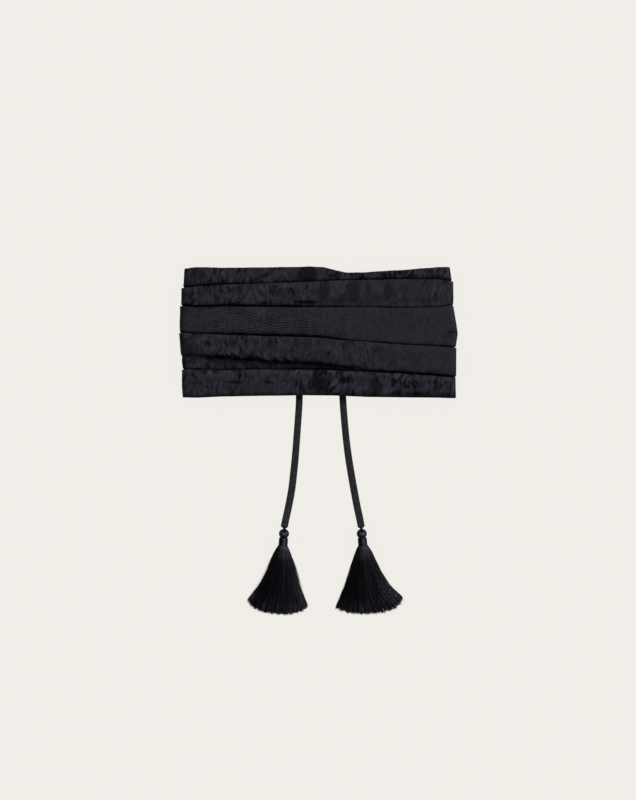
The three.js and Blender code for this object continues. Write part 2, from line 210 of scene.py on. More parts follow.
tieRibbon = dict(
    width=8.6,
    selvedge=0.2,  # what the woven edges add at each side, and twice that in the end near the tassel
    selvedgeFrom=0.5, selvedgeTo=0.75,  # shares of the length between which they get wider
    thick=0.8,
    rings=200, around=24,
    squareWide=0.35, squareTall=0.6,  # powers that square the round section up
    crown=0.12,  # how much the middle lies over the edges
    hem=6.0, hemThick=1.35,  # length and thickness of the folded end by the tassel
    past=2.7, pastRings=8,  # how far the folded end goes on past the route, round the loop
    gathered=2.3, endWidth=4.2,  # length and end width of the part that the loop gathers
    endRound=0.5, endThin=0.35,  # the very ends get thinner over that length, to the square root of that
)
# The routes of part.mjs, along the middle of the ribbon
tieRoutes = dict(
    left=[
        (-24.8, 4.0, 1.5), (-24.9, -10.0, 0.9), (-24.9, -20.0, 0.7), (-24.9, -35.0, 0.7),
        (-24.8, -55.0, 0.7), (-24.8, -75.0, 0.7), (-24.9, -90.4, 0.7), (-26.4, -113.7, 0.7),
        (-28.1, -137.0, 0.7), (-29.9, -160.3, 0.7), (-32.2, -183.6, 0.7), (-35.1, -206.9, 0.8),
        (-38.0, -222.5, 1.2), (-39.6, -230.5, 2.0), (-41.3, -238.0, 3.2), (-42.9, -245.5, 4.5),
        (-44.1, -251.4, 5.6),
    ],
    right=[
        (31.6, 4.0, 1.5), (31.4, -10.0, 0.9), (31.3, -20.0, 0.7), (31.2, -35.0, 0.7),
        (31.2, -55.0, 0.7), (31.3, -75.0, 0.7), (32.0, -90.4, 0.7), (33.8, -113.7, 0.7),
        (36.0, -137.0, 0.7), (38.9, -160.3, 0.7), (42.6, -183.6, 0.7), (46.7, -206.9, 0.8),
        (49.6, -222.5, 1.2), (51.2, -230.5, 2.0), (52.9, -238.0, 3.2), (54.4, -245.5, 4.5),
        (55.5, -251.4, 5.6),
    ],
)


# A ribbon: a flat rounded section carried along the route. The section is a circle whose cosine and
# sine are raised to a small power, which squares it up, with a crown of 1 - w^2 over its width w.
def addTie(side, spec):
    route = smoothRoute(tieRoutes[side], spec["rings"])
    ahead = (route[-1] - route[-2]) / np.linalg.norm(route[-1] - route[-2])
    past = np.linspace(0.25, spec["past"], spec["pastRings"])[:, None]
    route = np.concatenate([route, route[-1] + ahead * past])
    along = np.concatenate([[0], np.cumsum(np.linalg.norm(np.diff(route, axis=0), axis=1))])
    length = along[-1]
    tangent = np.gradient(route, axis=0)
    tangent /= np.linalg.norm(tangent, axis=1)[:, None]
    across = np.stack([-tangent[:, 1], tangent[:, 0], np.zeros(len(route))], axis=1)
    across /= np.linalg.norm(across, axis=1)[:, None]
    up = np.cross(tangent, across)
    up *= np.sign(up[:, 2])[:, None]
    toEnd = length - along
    hem = 1 - smoothStep(toEnd, spec["hem"] - 0.5, spec["hem"])
    wider = smoothStep(along, spec["selvedgeFrom"] * length, spec["selvedgeTo"] * length)
    half = spec["width"] / 2 + spec["selvedge"] * blend(1, 2, wider)
    half = blend(spec["endWidth"] / 2, half, np.clip(toEnd / spec["gathered"], 0, 1) ** 0.6)
    thick = blend(spec["thick"], spec["hemThick"], hem)
    thick *= np.sqrt(np.clip(np.minimum(along, toEnd) / spec["endRound"], spec["endThin"], 1))
    angle = np.linspace(0, 2 * np.pi, spec["around"], endpoint=False)
    wide = np.sign(np.cos(angle)) * np.abs(np.cos(angle)) ** spec["squareWide"]
    tall = np.sign(np.sin(angle)) * np.abs(np.sin(angle)) ** spec["squareTall"]
    w = wide[None, :] * half[:, None]
    bow = spec["crown"] * (1 - wide[None, :] ** 2) * (1 - hem[:, None])
    h = tall[None, :] * thick[:, None] / 2 + bow
    points = route[:, None, :] + w[..., None] * across[:, None, :] + h[..., None] * up[:, None, :]
    points[..., 2] = np.maximum(points[..., 2], 0.05)
    rings, around = len(route), spec["around"]
    uv = np.stack(np.broadcast_arrays(w, along[:, None]), axis=-1)
    faces = [gridFaces(rings, around, closeColumns=True)] + endCaps(rings, around)
    piece = addPiece(f"{side}Tie", points, faces, uv=uv)
    faceOutwards(piece)
    return piece, route, length


ties = {side: addTie(side, tieRibbon) for side in sides}
print("ties done")


band = dict(
    wall=1.4, rise=1.6,  # cloth and backing, and how far a fold stands over the pleat above it
    hollowMiddle=6.5, hollowSide=8.0, growsFrom=60, growsTo=150,  # room between front and back
    wingEndLeft=-29.4, wingEndRight=36.2, wingLong=(140, 134),
    pressed=0.72, pressedLong=9,  # what is left of the thickness at the ends, and how far in
    turnsAt=175,  # where the side folds are, for places along the unrolled band
    stations=dict(leftWing=50, leftSide=16, front=280, rightSide=16, rightWing=46),
    slotDepth=6.0,  # how far a pleat's cloth goes on under the next fold
    foldThick=1.05,  # thickness of a fold edge, over the hollow under it
    foldLift=0.25,  # how much higher the fold edges stand on the front than on the back
    topRoll=0.46, topOver=0.35,  # the top edge's radius for its height, and how far it stands over its line
    closedFloor=1.45, openFloor=-0.45,  # height of the cloth at the bottom of a closed and an open fold
    wingFloor=0.9, wingOpen=0.25,  # the same on the wings, and how wide the folds stand open there
    deeper=0.85,  # how much further in the front's inner face lies
    pleatFall=0.5,  # share of the rise that a pleat loses down to the next fold
    creaseRise=0.4,  # share of it that is left at the crease, for the side folds' reach
    swell=0.55, swellOver=(0.2, 0.75),  # how much higher the cloth lies above the crease, and where it rises
    sink=0.5,  # how much lower it lies under it
    creaseFrom=0.3, creaseUp=7.0, creaseDown=5.2,  # the dip into it: how far it reaches under and above it
    dipFlat=0.15, dipFlatOpen=0.75,  # the bottom of a closed fold, and how much wider an open one is
    dipSlope=1.2, dipSlopeOpen=1.5,  # the slope above it, and how much longer it is in an open fold
    dipEase=0.12, dipEaseLong=6.0,  # share of the depth that is already lost so far above the fold
    foldShift=-1.7,  # the dark line lies on the fold line, and the fold edge that far under it
    hemOver=0.6,  # the pleat's last row lies that far over the hem
    puckers=0.22, finePuckers=0.35, wingPuckers=0.35,  # height of the soft unevenness, and shares of it
    wingLower=0.6,  # the wings lie lower by that share of it
    wander=0.28, fineWander=0.1,  # how much a fold edge strays from its line
    liftUneven=0.13, openUneven=0.22,  # how unevenly folds stand up and stand open
    evenShare=0.6, nearFold=4.8,  # where the rows get closer above a fold
    patternStep=-110.0,  # from one pleat's strip of the cloth's pattern to the next
    closedFoldShade=0.5, openFoldShade=0.14,  # painted shade at the bottom of a closed and an open fold
    closedFade=2.2, foldFade=4.4,  # the painted shade gets lighter over that height, and over so much more if open
    fadeFrom=1.5, fadeUneven=0.35,  # from that height over the fold line
    # painted sheen: how much lighter each pleat is below its fold edge, and between which distances that ends
    paintedEdgeSheen=(0.0, 0.13, 0.06, 0.08, 0.33), sheenOver=(2.0, 8.0),
    creaseShade=0.05, creaseFade=8.0, stripFade=11.0,  # painted shade in pleat 4's crease, and the heights over which it fades above and under it
    puckerAt=-84, puckerWide=64, puckerDark=2.6,  # where it is puckered the crease's painted shade reaches further up
    hemShade=0.2, hemFadeLeft=6.0, hemFadeRight=10.5, hemFadeOver=(-30, 60),  # and painted shade along the hem
    rightTurnShade=1.6,  # painted shade round the right side fold
    leftTurnShade=0.86, leftOver=(-176, -163),  # and painted shade by the left one
)
# The stretches of cloth between two lines, each with its pleat, the shares of the pleat's height that it
# goes from and to, and its number of even rows
bandStretches = [
    dict(upper="top", lower="fold2", pleat=0, first=0, last=1, rows=8),
    dict(upper="fold2", lower="fold3", pleat=1, first=0, last=1, rows=20),
    dict(upper="fold3", lower="fold4", pleat=2, first=0, last=1, rows=22),
    dict(upper="fold4", lower="crease", pleat=3, first=0, last=0.72, rows=18),
    dict(upper="crease", lower="fold5", pleat=3, first=0.72, last=1, rows=7),
    dict(upper="fold5", lower="hem", pleat=4, first=0, last=1, rows=26),
]
closeRows = (0.82, 0.68, 0.56, 0.46, 0.37, 0.29, 0.22, 0.16, 0.1, 0.05, 0.0)  # shares of nearFold
# Heights above the middle of the top edge, the four fold edges, the crease in pleat 4 and the hem
bandLines = [
    dict(x=-173, top=82.6, fold2=59.0, fold3=35.3, fold4=0.4, crease=-29.4, fold5=-46.4, hem=-84.2),
    dict(x=-158, top=84.0, fold2=60.6, fold3=33.6, fold4=-0.4, crease=-30.0, fold5=-46.8, hem=-84.5),
    dict(x=-140, top=83.8, fold2=62.2, fold3=33.9, fold4=-1.0, crease=-31.4, fold5=-47.2, hem=-83.7),
    dict(x=-125, top=83.4, fold2=63.0, fold3=35.0, fold4=-1.7, crease=-32.6, fold5=-47.7, hem=-83.0),
    dict(x=-80, top=83.7, fold2=64.5, fold3=34.3, fold4=-3.1, crease=-35.2, fold5=-46.8, hem=-82.3),
    dict(x=-63, top=83.8, fold2=65.0, fold3=34.0, fold4=-3.6, crease=-37.2, fold5=-46.5, hem=-82.1),
    dict(x=-16, top=84.8, fold2=67.0, fold3=33.9, fold4=-4.9, crease=-39.0, fold5=-47.1, hem=-81.4),
    dict(x=5, top=84.3, fold2=67.6, fold3=33.9, fold4=-5.7, crease=-40.4, fold5=-47.1, hem=-81.5),
    dict(x=20, top=80.9, fold2=68.4, fold3=33.9, fold4=-7.5, crease=-42.2, fold5=-47.8, hem=-81.8),
    dict(x=36, top=76.9, fold2=68.9, fold3=33.9, fold4=-9.2, crease=-44.4, fold5=-48.7, hem=-82.3),
    dict(x=62, top=77.4, fold2=69.5, fold3=33.9, fold4=-10.7, crease=-45.8, fold5=-49.5, hem=-83.5),
    dict(x=108, top=80.3, fold2=70.2, fold3=32.8, fold4=-14.6, crease=-48.8, fold5=-51.8, hem=-84.0),
    dict(x=155, top=83.9, fold2=70.2, fold3=34.0, fold4=-16.7, crease=-52.3, fold5=-55.3, hem=-84.5),
    dict(x=174, top=84.4, fold2=67.6, fold3=36.0, fold4=-18.6, crease=-54.0, fold5=-57.0, hem=-85.1),
]
lineNames = ["top", "fold2", "fold3", "fold4", "crease", "fold5", "hem"]
# The same heights at the ends of the wings
wingLines = dict(
    left=dict(top=76, fold2=48, fold3=19, fold4=-13, crease=-36, fold5=-45, hem=-76),
    right=dict(top=73, fold2=48, fold3=19, fold4=-14, crease=-42, fold5=-46, hem=-77),
)
# How far the side folds reach out: at a pleat's fold edge, at 0.65 of its height and at its end
sideReach = dict(
    left=[(173.8, 174.7, 175.9), (177.6, 177.9, 178.3), (179.5, 180.0, 179.9), (180.8, 178.7, 176.1),
          (177.0, 177.3, 176.1)],
    right=[(170.7, 172.2, 173.6), (175.0, 175.5, 174.9), (175.1, 181.0, 178.0), (178.8, 178.9, 178.9),
           (178.1, 178.3, 178.8)],
)
# How wide each fold stands open along the band, from 0 to 1
foldOpen = [
    dict(x=-175, fold2=0.55, fold3=0.7, fold4=0.3, crease=0.35, fold5=0.2),
    dict(x=-150, fold2=0.6, fold3=0.95, fold4=0.5, crease=0.5, fold5=0.2),
    dict(x=-140, fold2=0.55, fold3=1.0, fold4=0.6, crease=1.0, fold5=0.2),
    dict(x=-115, fold2=0.45, fold3=1.0, fold4=0.8, crease=1.0, fold5=0.25),
    dict(x=-80, fold2=0.15, fold3=0.95, fold4=1.0, crease=1.0, fold5=0.25),
    dict(x=-45, fold2=0.2, fold3=0.85, fold4=1.0, crease=1.0, fold5=0.3),
    dict(x=0, fold2=0.2, fold3=0.35, fold4=0.9, crease=1.0, fold5=0.7),
    dict(x=25, fold2=0.2, fold3=0.15, fold4=0.5, crease=0.8, fold5=1.0),
    dict(x=60, fold2=0.2, fold3=0.1, fold4=0.2, crease=0.2, fold5=1.0),
    dict(x=95, fold2=0.2, fold3=0.1, fold4=0.15, crease=0.0, fold5=0.85),
    dict(x=130, fold2=0.3, fold3=0.15, fold4=0.25, crease=0.0, fold5=0.85),
    dict(x=175, fold2=0.3, fold3=0.15, fold4=0.4, crease=0.0, fold5=0.75),
]
# Marks in the cloth, where it was pressed or creased: partly watermark figures and partly painted shadow
# and painted sheen, the darkest in dents and along folds and creases. Each is an oval with an edge that is
# soft (sharp=2) or clear (sharp=4). It may lean, lie in a dent, and have a lighter or darker tone and calmer
# streaks.
plainMark = dict(lean=0.0, dent=0.0, tone=1.0, streaks=1.0, sharp=2)
clothMarks = [
    # pleat 1
    dict(x=-154, y=73, wide=9, high=7, lean=-0.6, dent=0.2, tone=0.66, streaks=0.4),
    dict(x=-139, y=74, wide=4, high=8, lean=-1.3, tone=1.25, streaks=0.5),
    dict(x=-96, y=79, wide=7, high=2, lean=1.5, tone=0.7),
    dict(x=-55, y=75, wide=5.5, high=6, tone=1.3, streaks=0.3, sharp=4),
    dict(x=-31, y=75, wide=2, high=9, tone=0.7),
    dict(x=-14.5, y=75.5, wide=13.5, high=11, dent=0.15, tone=0.42, streaks=0.8, sharp=5),
    dict(x=2.5, y=76, wide=3, high=8, tone=1.35),
    dict(x=48, y=76, wide=14, high=5, dent=0.1, tone=0.85),
    dict(x=143, y=72, wide=16, high=1.8, dent=0.3, tone=0.6),
    dict(x=118, y=75, wide=12, high=3, dent=0.1, tone=0.8),
    # pleat 2
    dict(x=-76.5, y=46.5, wide=1.5, high=7, lean=-1.0, tone=1.45, streaks=0.3),
    dict(x=-73.5, y=50, wide=2.6, high=8, lean=-0.9, tone=0.7, streaks=0.2, sharp=3),
    dict(x=-71.5, y=55, wide=1.5, high=6, lean=-0.9, tone=1.5, streaks=0.3),
    dict(x=-66, y=51, wide=2.6, high=9, lean=-0.2, tone=1.5, streaks=0.3),
    dict(x=-52, y=51, wide=7, high=9, lean=-1.1, dent=0.1, tone=0.68, streaks=0.15, sharp=3),
    dict(x=-55, y=44.5, wide=7, high=2, lean=-2.0, tone=1.35, streaks=0.3),
    dict(x=-45, y=59.5, wide=8, high=2.6, tone=1.35, streaks=0.5),
    dict(x=-22, y=50, wide=1.8, high=9, lean=-0.3, tone=1.4, streaks=0.5),
    dict(x=-11.5, y=52, wide=1.6, high=8, lean=-0.1, tone=1.35, streaks=0.5),
    dict(x=-16, y=39.0, wide=17, high=2.4, dent=0.9, tone=0.12, sharp=3),
    dict(x=-120, y=52, wide=24, high=10, tone=0.92),
    dict(x=7.5, y=53, wide=6.5, high=14, tone=0.66, streaks=0.3, sharp=4),
    dict(x=25, y=56, wide=11, high=9.5, tone=1.2, streaks=0.8, sharp=4),
    dict(x=27, y=42, wide=13, high=4, lean=-0.8, tone=0.72, streaks=0.4),
    dict(x=45.5, y=54, wide=9, high=16, tone=0.66, streaks=0.15, sharp=5),
    dict(x=57.5, y=57, wide=3.2, high=11, tone=1.22, streaks=0.4, sharp=3),
    dict(x=65, y=56, wide=3, high=8, lean=-0.3, tone=0.75, streaks=0.4, sharp=3),
    dict(x=76, y=46, wide=12, high=2.5, lean=-2.5, tone=0.75, streaks=0.4),
    dict(x=76, y=57, wide=8, high=8, tone=1.25, streaks=0.6, sharp=3),
    dict(x=90, y=53, wide=5.4, high=13, tone=0.66, streaks=0.2, sharp=5),
    dict(x=103, y=55, wide=6, high=13, tone=1.2),
    dict(x=54, y=40, wide=40, high=3, dent=0.2, tone=0.85),
    # pleat 3
    dict(x=-140, y=31.4, wide=40, high=1.6, tone=0.72),
    dict(x=178, y=0.4, wide=11, high=1.4, dent=1.3, tone=0.2, sharp=3),
    dict(x=166, y=-4, wide=9, high=4, dent=0.3, tone=0.78),
    dict(x=28, y=-3, wide=14, high=3, dent=0.2, tone=0.8),
    # pleat 4
    dict(x=-169, y=-20, wide=14, high=8, dent=0.2, tone=0.6, streaks=0.3),
    dict(x=-111, y=-13.5, wide=7, high=5.5, tone=0.72, streaks=0.6),
    dict(x=-88, y=-17, wide=6, high=6, tone=1.12, streaks=0.3),
    dict(x=-62.5, y=-14, wide=5, high=8, tone=0.62, streaks=0.4, sharp=3),
    dict(x=-66, y=-10, wide=1.8, high=2, tone=1.6),
    dict(x=-76, y=-28.5, wide=14, high=1.8, tone=1.3),
    dict(x=-14, y=-15, wide=6, high=9, tone=0.8, streaks=0.2, sharp=4),
    dict(x=5, y=-22, wide=10, high=10, lean=-0.4, dent=0.1, tone=0.84),
    dict(x=78, y=-25, wide=6, high=4, dent=0.1, tone=0.82),
    dict(x=-121, y=-31.2, wide=22, high=2.6, lean=-0.6, tone=0.35, streaks=2.0, sharp=3),
    # pleat 5
    dict(x=-130, y=-61, wide=24, high=4, tone=0.84, streaks=0.6),
    dict(x=-108, y=-65.0, wide=12, high=2.3, dent=0.4, tone=0.22, streaks=0.4),
    dict(x=-64.5, y=-64.6, wide=6.0, high=2.5, lean=-1.0, dent=0.4, tone=0.22, streaks=0.4),
    dict(x=-45, y=-63, wide=6, high=1.2, dent=0.2, tone=0.6, streaks=0.5),
    dict(x=-75, y=-72, wide=34, high=6, tone=0.92, streaks=0.3, sharp=3),
    dict(x=-3, y=-60, wide=8, high=8, dent=0.3, tone=0.3, streaks=1.4),
    dict(x=-1, y=-72, wide=7, high=6, dent=0.2, tone=0.4),
    dict(x=9, y=-53.3, wide=9, high=1.3, tone=0.4),
    dict(x=7, y=-68, wide=6.2, high=11, dent=0.1, tone=0.5, streaks=0.2, sharp=4),
    dict(x=13.8, y=-63, wide=1.7, high=6, tone=0.4),
    dict(x=20.5, y=-64, wide=3.4, high=8, tone=1.4, streaks=0.8),
    dict(x=34, y=-62, wide=10, high=4.4, dent=0.3, tone=0.3, streaks=2.0, sharp=3),
    dict(x=54, y=-70, wide=9, high=6, tone=1.25, streaks=0.5),
    dict(x=74, y=-67, wide=10, high=9, dent=0.2, tone=0.52, streaks=0.2, sharp=4),
    dict(x=75.5, y=-61.5, wide=2, high=5, dent=0.3, tone=0.35),
    dict(x=80.5, y=-62, wide=3.4, high=4, tone=1.7, streaks=0.3, sharp=3),
    dict(x=90, y=-66, wide=4.4, high=9, tone=1.2, streaks=0.4, sharp=3),
    dict(x=100, y=-63.5, wide=4, high=3.4, lean=-0.5, dent=0.4, tone=0.4, sharp=3),
    dict(x=123, y=-70, wide=13, high=6, tone=0.78, streaks=1.6),
    dict(x=123, y=-79.5, wide=14, high=3.2, dent=0.2, tone=0.3, streaks=1.5),
    dict(x=158, y=-70.5, wide=4, high=4.5, tone=0.68, streaks=0.4),
]
# How the cloth looks along each pleat: strength of the watermark's bands, of its short streaks and of
# the ribs, and tone
clothLooks = [
    [
        dict(x=-175, mark=0.5, streaks=0.9, ribs=0.1, tone=1.0),
        dict(x=-100, mark=0.5, streaks=1.0, ribs=0.1, tone=1.0),
        dict(x=-60, mark=0.7, streaks=0.6, ribs=0.1, tone=1.05),
        dict(x=0, mark=0.5, streaks=0.6, ribs=0.1, tone=1.05),
        dict(x=40, mark=0.4, streaks=1.2, ribs=0.1, tone=1.0),
        dict(x=175, mark=0.4, streaks=1.4, ribs=0.1, tone=0.99),
    ], [
        dict(x=-175, mark=0.6, streaks=1.0, ribs=0.1, tone=1.0),
        dict(x=-100, mark=0.7, streaks=0.7, ribs=0.1, tone=1.0),
        dict(x=-40, mark=0.7, streaks=0.7, ribs=0.1, tone=1.05),
        dict(x=0, mark=0.4, streaks=0.8, ribs=0.1, tone=1.05),
        dict(x=20, mark=0.25, streaks=0.4, ribs=0.1, tone=1.07),
        dict(x=100, mark=0.25, streaks=0.4, ribs=0.1, tone=1.12),
        dict(x=175, mark=0.3, streaks=0.6, ribs=0.1, tone=1.12),
    ], [
        dict(x=-175, mark=0.2, streaks=0.3, ribs=1.0, tone=1.07),
        dict(x=-5, mark=0.1, streaks=0.3, ribs=1.0, tone=1.08),
        dict(x=14, mark=0.1, streaks=0.2, ribs=0.1, tone=1.16),
        dict(x=175, mark=0.1, streaks=0.2, ribs=0.0, tone=1.16),
    ], [
        dict(x=-175, mark=0.4, streaks=0.7, ribs=0.1, tone=1.05),
        dict(x=-100, mark=0.6, streaks=1.0, ribs=0.1, tone=1.1),
        dict(x=-55, mark=0.6, streaks=0.7, ribs=0.1, tone=1.12),
        dict(x=-20, mark=0.3, streaks=0.5, ribs=0.1, tone=1.05),
        dict(x=40, mark=0.35, streaks=0.6, ribs=0.1, tone=1.1),
        dict(x=90, mark=0.2, streaks=0.35, ribs=0.1, tone=1.12),
        dict(x=175, mark=0.1, streaks=0.2, ribs=0.0, tone=1.12),
    ], [
        dict(x=-175, mark=0.6, streaks=0.7, ribs=0.1, tone=1.05),
        dict(x=-60, mark=0.4, streaks=0.7, ribs=0.1, tone=1.1),
        dict(x=0, mark=0.5, streaks=1.1, ribs=0.1, tone=0.92),
        dict(x=60, mark=0.4, streaks=0.8, ribs=0.1, tone=1.02),
        dict(x=110, mark=0.4, streaks=1.2, ribs=0.1, tone=1.05),
        dict(x=175, mark=0.5, streaks=0.9, ribs=0.1, tone=1.08),
    ],
]
# Ovals in the watermark, as hills in the pattern's phase
markOvals = [
    dict(x=-122, y=54, wide=9, high=8, hill=-1.4),
    dict(x=-95, y=-18, wide=10, high=10, hill=1.5),
    dict(x=60, y=-24, wide=12, high=8, hill=1.6),
    dict(x=-140, y=-64, wide=11, high=9, hill=1.5),
]


# The pleated band is one closed skin, a ring of rows across the band carried along it. Each row has a
# place between two of the lines and a height over the inner face. Going down the band, a pleat keeps
# its height, falls as 1 - (3t^2 - 2t^3), dips into the fold, goes on under the next fold edge, turns,
# comes back and rolls over a half circle onto the next pleat. Along the band, the skin lies on the
# surface (wing), turns half round (side) and comes back over itself (front).
def addBand(spec):
    counts = spec["stations"]
    part = np.concatenate([np.full(n, i) for i, n in enumerate(counts.values())])[:, None]
    share = np.concatenate([
        np.arange(counts["leftWing"]) / counts["leftWing"],
        np.arange(counts["leftSide"]) / counts["leftSide"],
        np.arange(counts["front"]) / (counts["front"] - 1),
        (np.arange(counts["rightSide"]) + 1) / counts["rightSide"],
        (np.arange(counts["rightWing"]) + 1) / counts["rightWing"],
    ])[:, None]
    inner = spec["hollowSide"] / 2
    back = spec["wall"] + spec["rise"]
    # 0 on the wings and 1 on the front, rising round the side folds
    frontness = np.choose(part, [0.0, share, 1.0, 1 - share, 0.0])
    bandRows = []

    # Place along the band, and where the turns start left and right, from the side folds' reach at a
    # share of a pleat and a height of the skin
    def placeAlong(pleat, s, height):
        reach = [np.interp(s, [0, 0.65, 1], sideReach[side][pleat]) for side in sides]
        left = -reach[0] + height + inner + 0 * share
        right = reach[1] - height - inner + 0 * share
        x = np.choose(part, [blend(spec["wingEndLeft"], left, share), left, blend(left, right, share),
                             right, blend(right, spec["wingEndRight"], share)])
        return x, left, right

    # Height of a line above the band's middle
    def lineAt(name, x):
        first, last = bandLines[0][name], bandLines[-1][name]
        line = np.choose(part, [blend(wingLines["left"][name], first, share), first,
                                column(bandLines, "x", name, x), last,
                                blend(last, wingLines["right"][name], share)])
        return line + (spec["foldShift"] if name not in ("top", "hem") else 0)

    # Distance along the unrolled band, for noise and for the cloth's pattern
    def unrolled(x):
        turn = np.pi * (inner + 2)
        wingStart = 2 * spec["turnsAt"] + turn
        return np.choose(part, [-wingStart - x, -spec["turnsAt"] - turn * (1 - share), x,
                                spec["turnsAt"] + turn * share, wingStart - x])

    # How wide a fold stands open
    def openAt(name, x, along):
        if name in ("top", "hem"):
            return np.zeros_like(x)
        table = column(foldOpen, "x", name, x)
        uneven = softNoise(along, 7.0 * lineNames.index(name), cellX=9, cellY=1, seed=31)
        table = table + spec["openUneven"] * uneven * (table > 0.05)
        return np.clip(blend(spec["wingOpen"] * (name != "crease"), table, frontness), 0, 1)

    # Height of the cloth at the bottom of a fold
    def floorAt(opened):
        return blend(spec["wingFloor"], blend(spec["closedFloor"], spec["openFloor"], opened), frontness)

    # How much of the crease in pleat 4 there is
    def creaseAt(x, along):
        opened = openAt("crease", x, along)
        return opened * smoothStep(opened, 0.0, 0.2)

    # Height of a pleat's cloth: its fall, the soft unevenness, and the dips into the crease and the fold
    def heightAt(stretch, s, full, rise, x, y, along, fromTop, toLine):
        creased = creaseAt(x, along)
        height = rise + spec["foldLift"] * frontness * (1 - full)
        if stretch["lower"] == "crease":
            height = height + spec["swell"] * creased * smoothStep(s, *spec["swellOver"])
        if stretch["upper"] == "crease":
            height = height - spec["sink"] * creased
        uneven = softNoise(along, y, cellX=24, cellY=12, seed=12)
        uneven = uneven + spec["finePuckers"] * softNoise(along, y, cellX=8, cellY=6, seed=13)
        uneven = uneven * blend(spec["wingPuckers"], 1.0, frontness) - spec["wingLower"] * (1 - frontness)
        height = height + spec["puckers"] * uneven
        if stretch["upper"] == "crease":
            # up again out of the crease
            low = (1 - smoothStep(fromTop, spec["creaseFrom"], spec["creaseUp"])) ** 1.5
            low = low * smoothStep(creased, 0.0, 0.3)
            height = blend(height, floorAt(creased), low)
        if stretch["lower"] == "crease":
            # the swell goes down to the crease
            low = np.clip(1 - (toLine - spec["creaseFrom"]) / spec["creaseDown"], 0, 1) ** 2.2
            low = low * smoothStep(creased, 0.0, 0.3)
            height = blend(height, floorAt(creased), low)
        elif stretch["lower"] != "hem":
            # steeply down into the fold, to a floor that is wider where the fold stands open
            opened = openAt(stretch["lower"], x, along)
            flat = spec["dipFlat"] + spec["dipFlatOpen"] * opened
            low = 1 - smoothStep(toLine, flat, flat + spec["dipSlope"] + spec["dipSlopeOpen"] * opened)
            eased = spec["dipEase"] * np.clip(1 - toLine / spec["dipEaseLong"], 0, 1) ** 2
            low = np.maximum(low, eased)
            height = blend(height, floorAt(opened), low)
        return height

    # Painted shade and sheen of a pleat's cloth: painted shade down in the folds, in the crease and along the
    # hem, and a painted sheen below each fold edge
    def paintedShadeAndSheenAt(stretch, x, y, along, fromTop, toLine):
        pleat = stretch["pleat"]
        if stretch["lower"] == "hem":
            toRight = smoothStep(x, *spec["hemFadeOver"])
            reach = blend(spec["hemFadeLeft"], spec["hemFadeRight"], toRight)
            tone = blend(spec["hemShade"], 1, np.clip((toLine + spec["hemOver"]) / reach, 0, 1) ** 0.8)
        else:
            fold = "fold5" if pleat == 3 else stretch["lower"]
            opened = openAt(fold, x, along)
            uneven = 1 + spec["fadeUneven"] * softNoise(along, 7.0 * pleat, cellX=5, cellY=1, seed=14)
            reach = (spec["closedFade"] + spec["foldFade"] * opened) * uneven
            fade = np.clip((y - lineAt(fold, x) - spec["fadeFrom"]) / reach, 0, 1)
            tone = blend(blend(spec["closedFoldShade"], spec["openFoldShade"], opened), 1, fade)
        if stretch["lower"] == "crease":
            pucker = np.exp(-(((x - spec["puckerAt"]) / spec["puckerWide"]) ** 4))
            strokes = softNoise(along + 0.9 * y, 3.0, cellX=3.6, cellY=1, seed=15)
            ragged = 1 + (0.25 + 0.5 * pucker) * strokes
            dark = 0.5 + spec["puckerDark"] * pucker * (0.5 + strokes)
            fade = 1 - (1 - np.clip((toLine - dark) / (spec["creaseFade"] * ragged), 0, 1)) ** 1.5
            tone = tone * blend(1, blend(spec["creaseShade"], 1, fade), creaseAt(x, along))
        if stretch["upper"] == "crease":
            fade = np.clip((fromTop - spec["creaseFrom"]) / spec["stripFade"], 0, 1)
            return tone * blend(1, blend(spec["creaseShade"], 1, fade), creaseAt(x, along))
        return tone * (1 + spec["paintedEdgeSheen"][pleat] * (1 - smoothStep(fromTop, *spec["sheenOver"])))

    # A row of the skin: its pleat, its place along the band, y, its height over the inner face, its
    # place across the cloth's pattern, and its tone, which carries painted shade and painted sheen
    def addRow(pleat, place, y, height, v, tone=1.0):
        bandRows.append(np.broadcast_arrays(*place, y, height, v, tone, pleat))

    for stretch in bandStretches:
        upper, pleat, toHem = stretch["upper"], stretch["pleat"], stretch["lower"] == "hem"
        riseHere = spec["rise"] * (spec["creaseRise"] if upper == "crease" else 1)
        place = placeAlong(pleat, stretch["first"], spec["wall"] + riseHere)
        along = unrolled(place[0])
        line = lineAt(upper, place[0])
        lift = 1 + spec["liftUneven"] * softNoise(along, 11.0 * pleat, cellX=17, cellY=1, seed=5) * frontness
        stray = spec["wander"] * softNoise(along, 3.0 * pleat, cellX=12, cellY=1, seed=8)
        stray = stray + spec["fineWander"] * softNoise(along, 5.0 * pleat, cellX=4, cellY=1, seed=9)
        crest = spec["wall"] + spec["rise"] * lift + spec["foldLift"] * frontness
        vStart = spec["patternStep"] * pleat
        if upper == "top":
            # the top edge is rolled over from the inner face
            nose = crest * spec["topRoll"]
            for angle in np.linspace(-80, 90, 8):
                a = math.radians(angle)
                y = line + spec["topOver"] + stray - nose + nose * math.cos(a)
                v = vStart + nose * 1.2 * (1 - angle / 90)
                addRow(pleat, place, y, nose * (1 + math.sin(a)), v)
        elif upper != "crease":
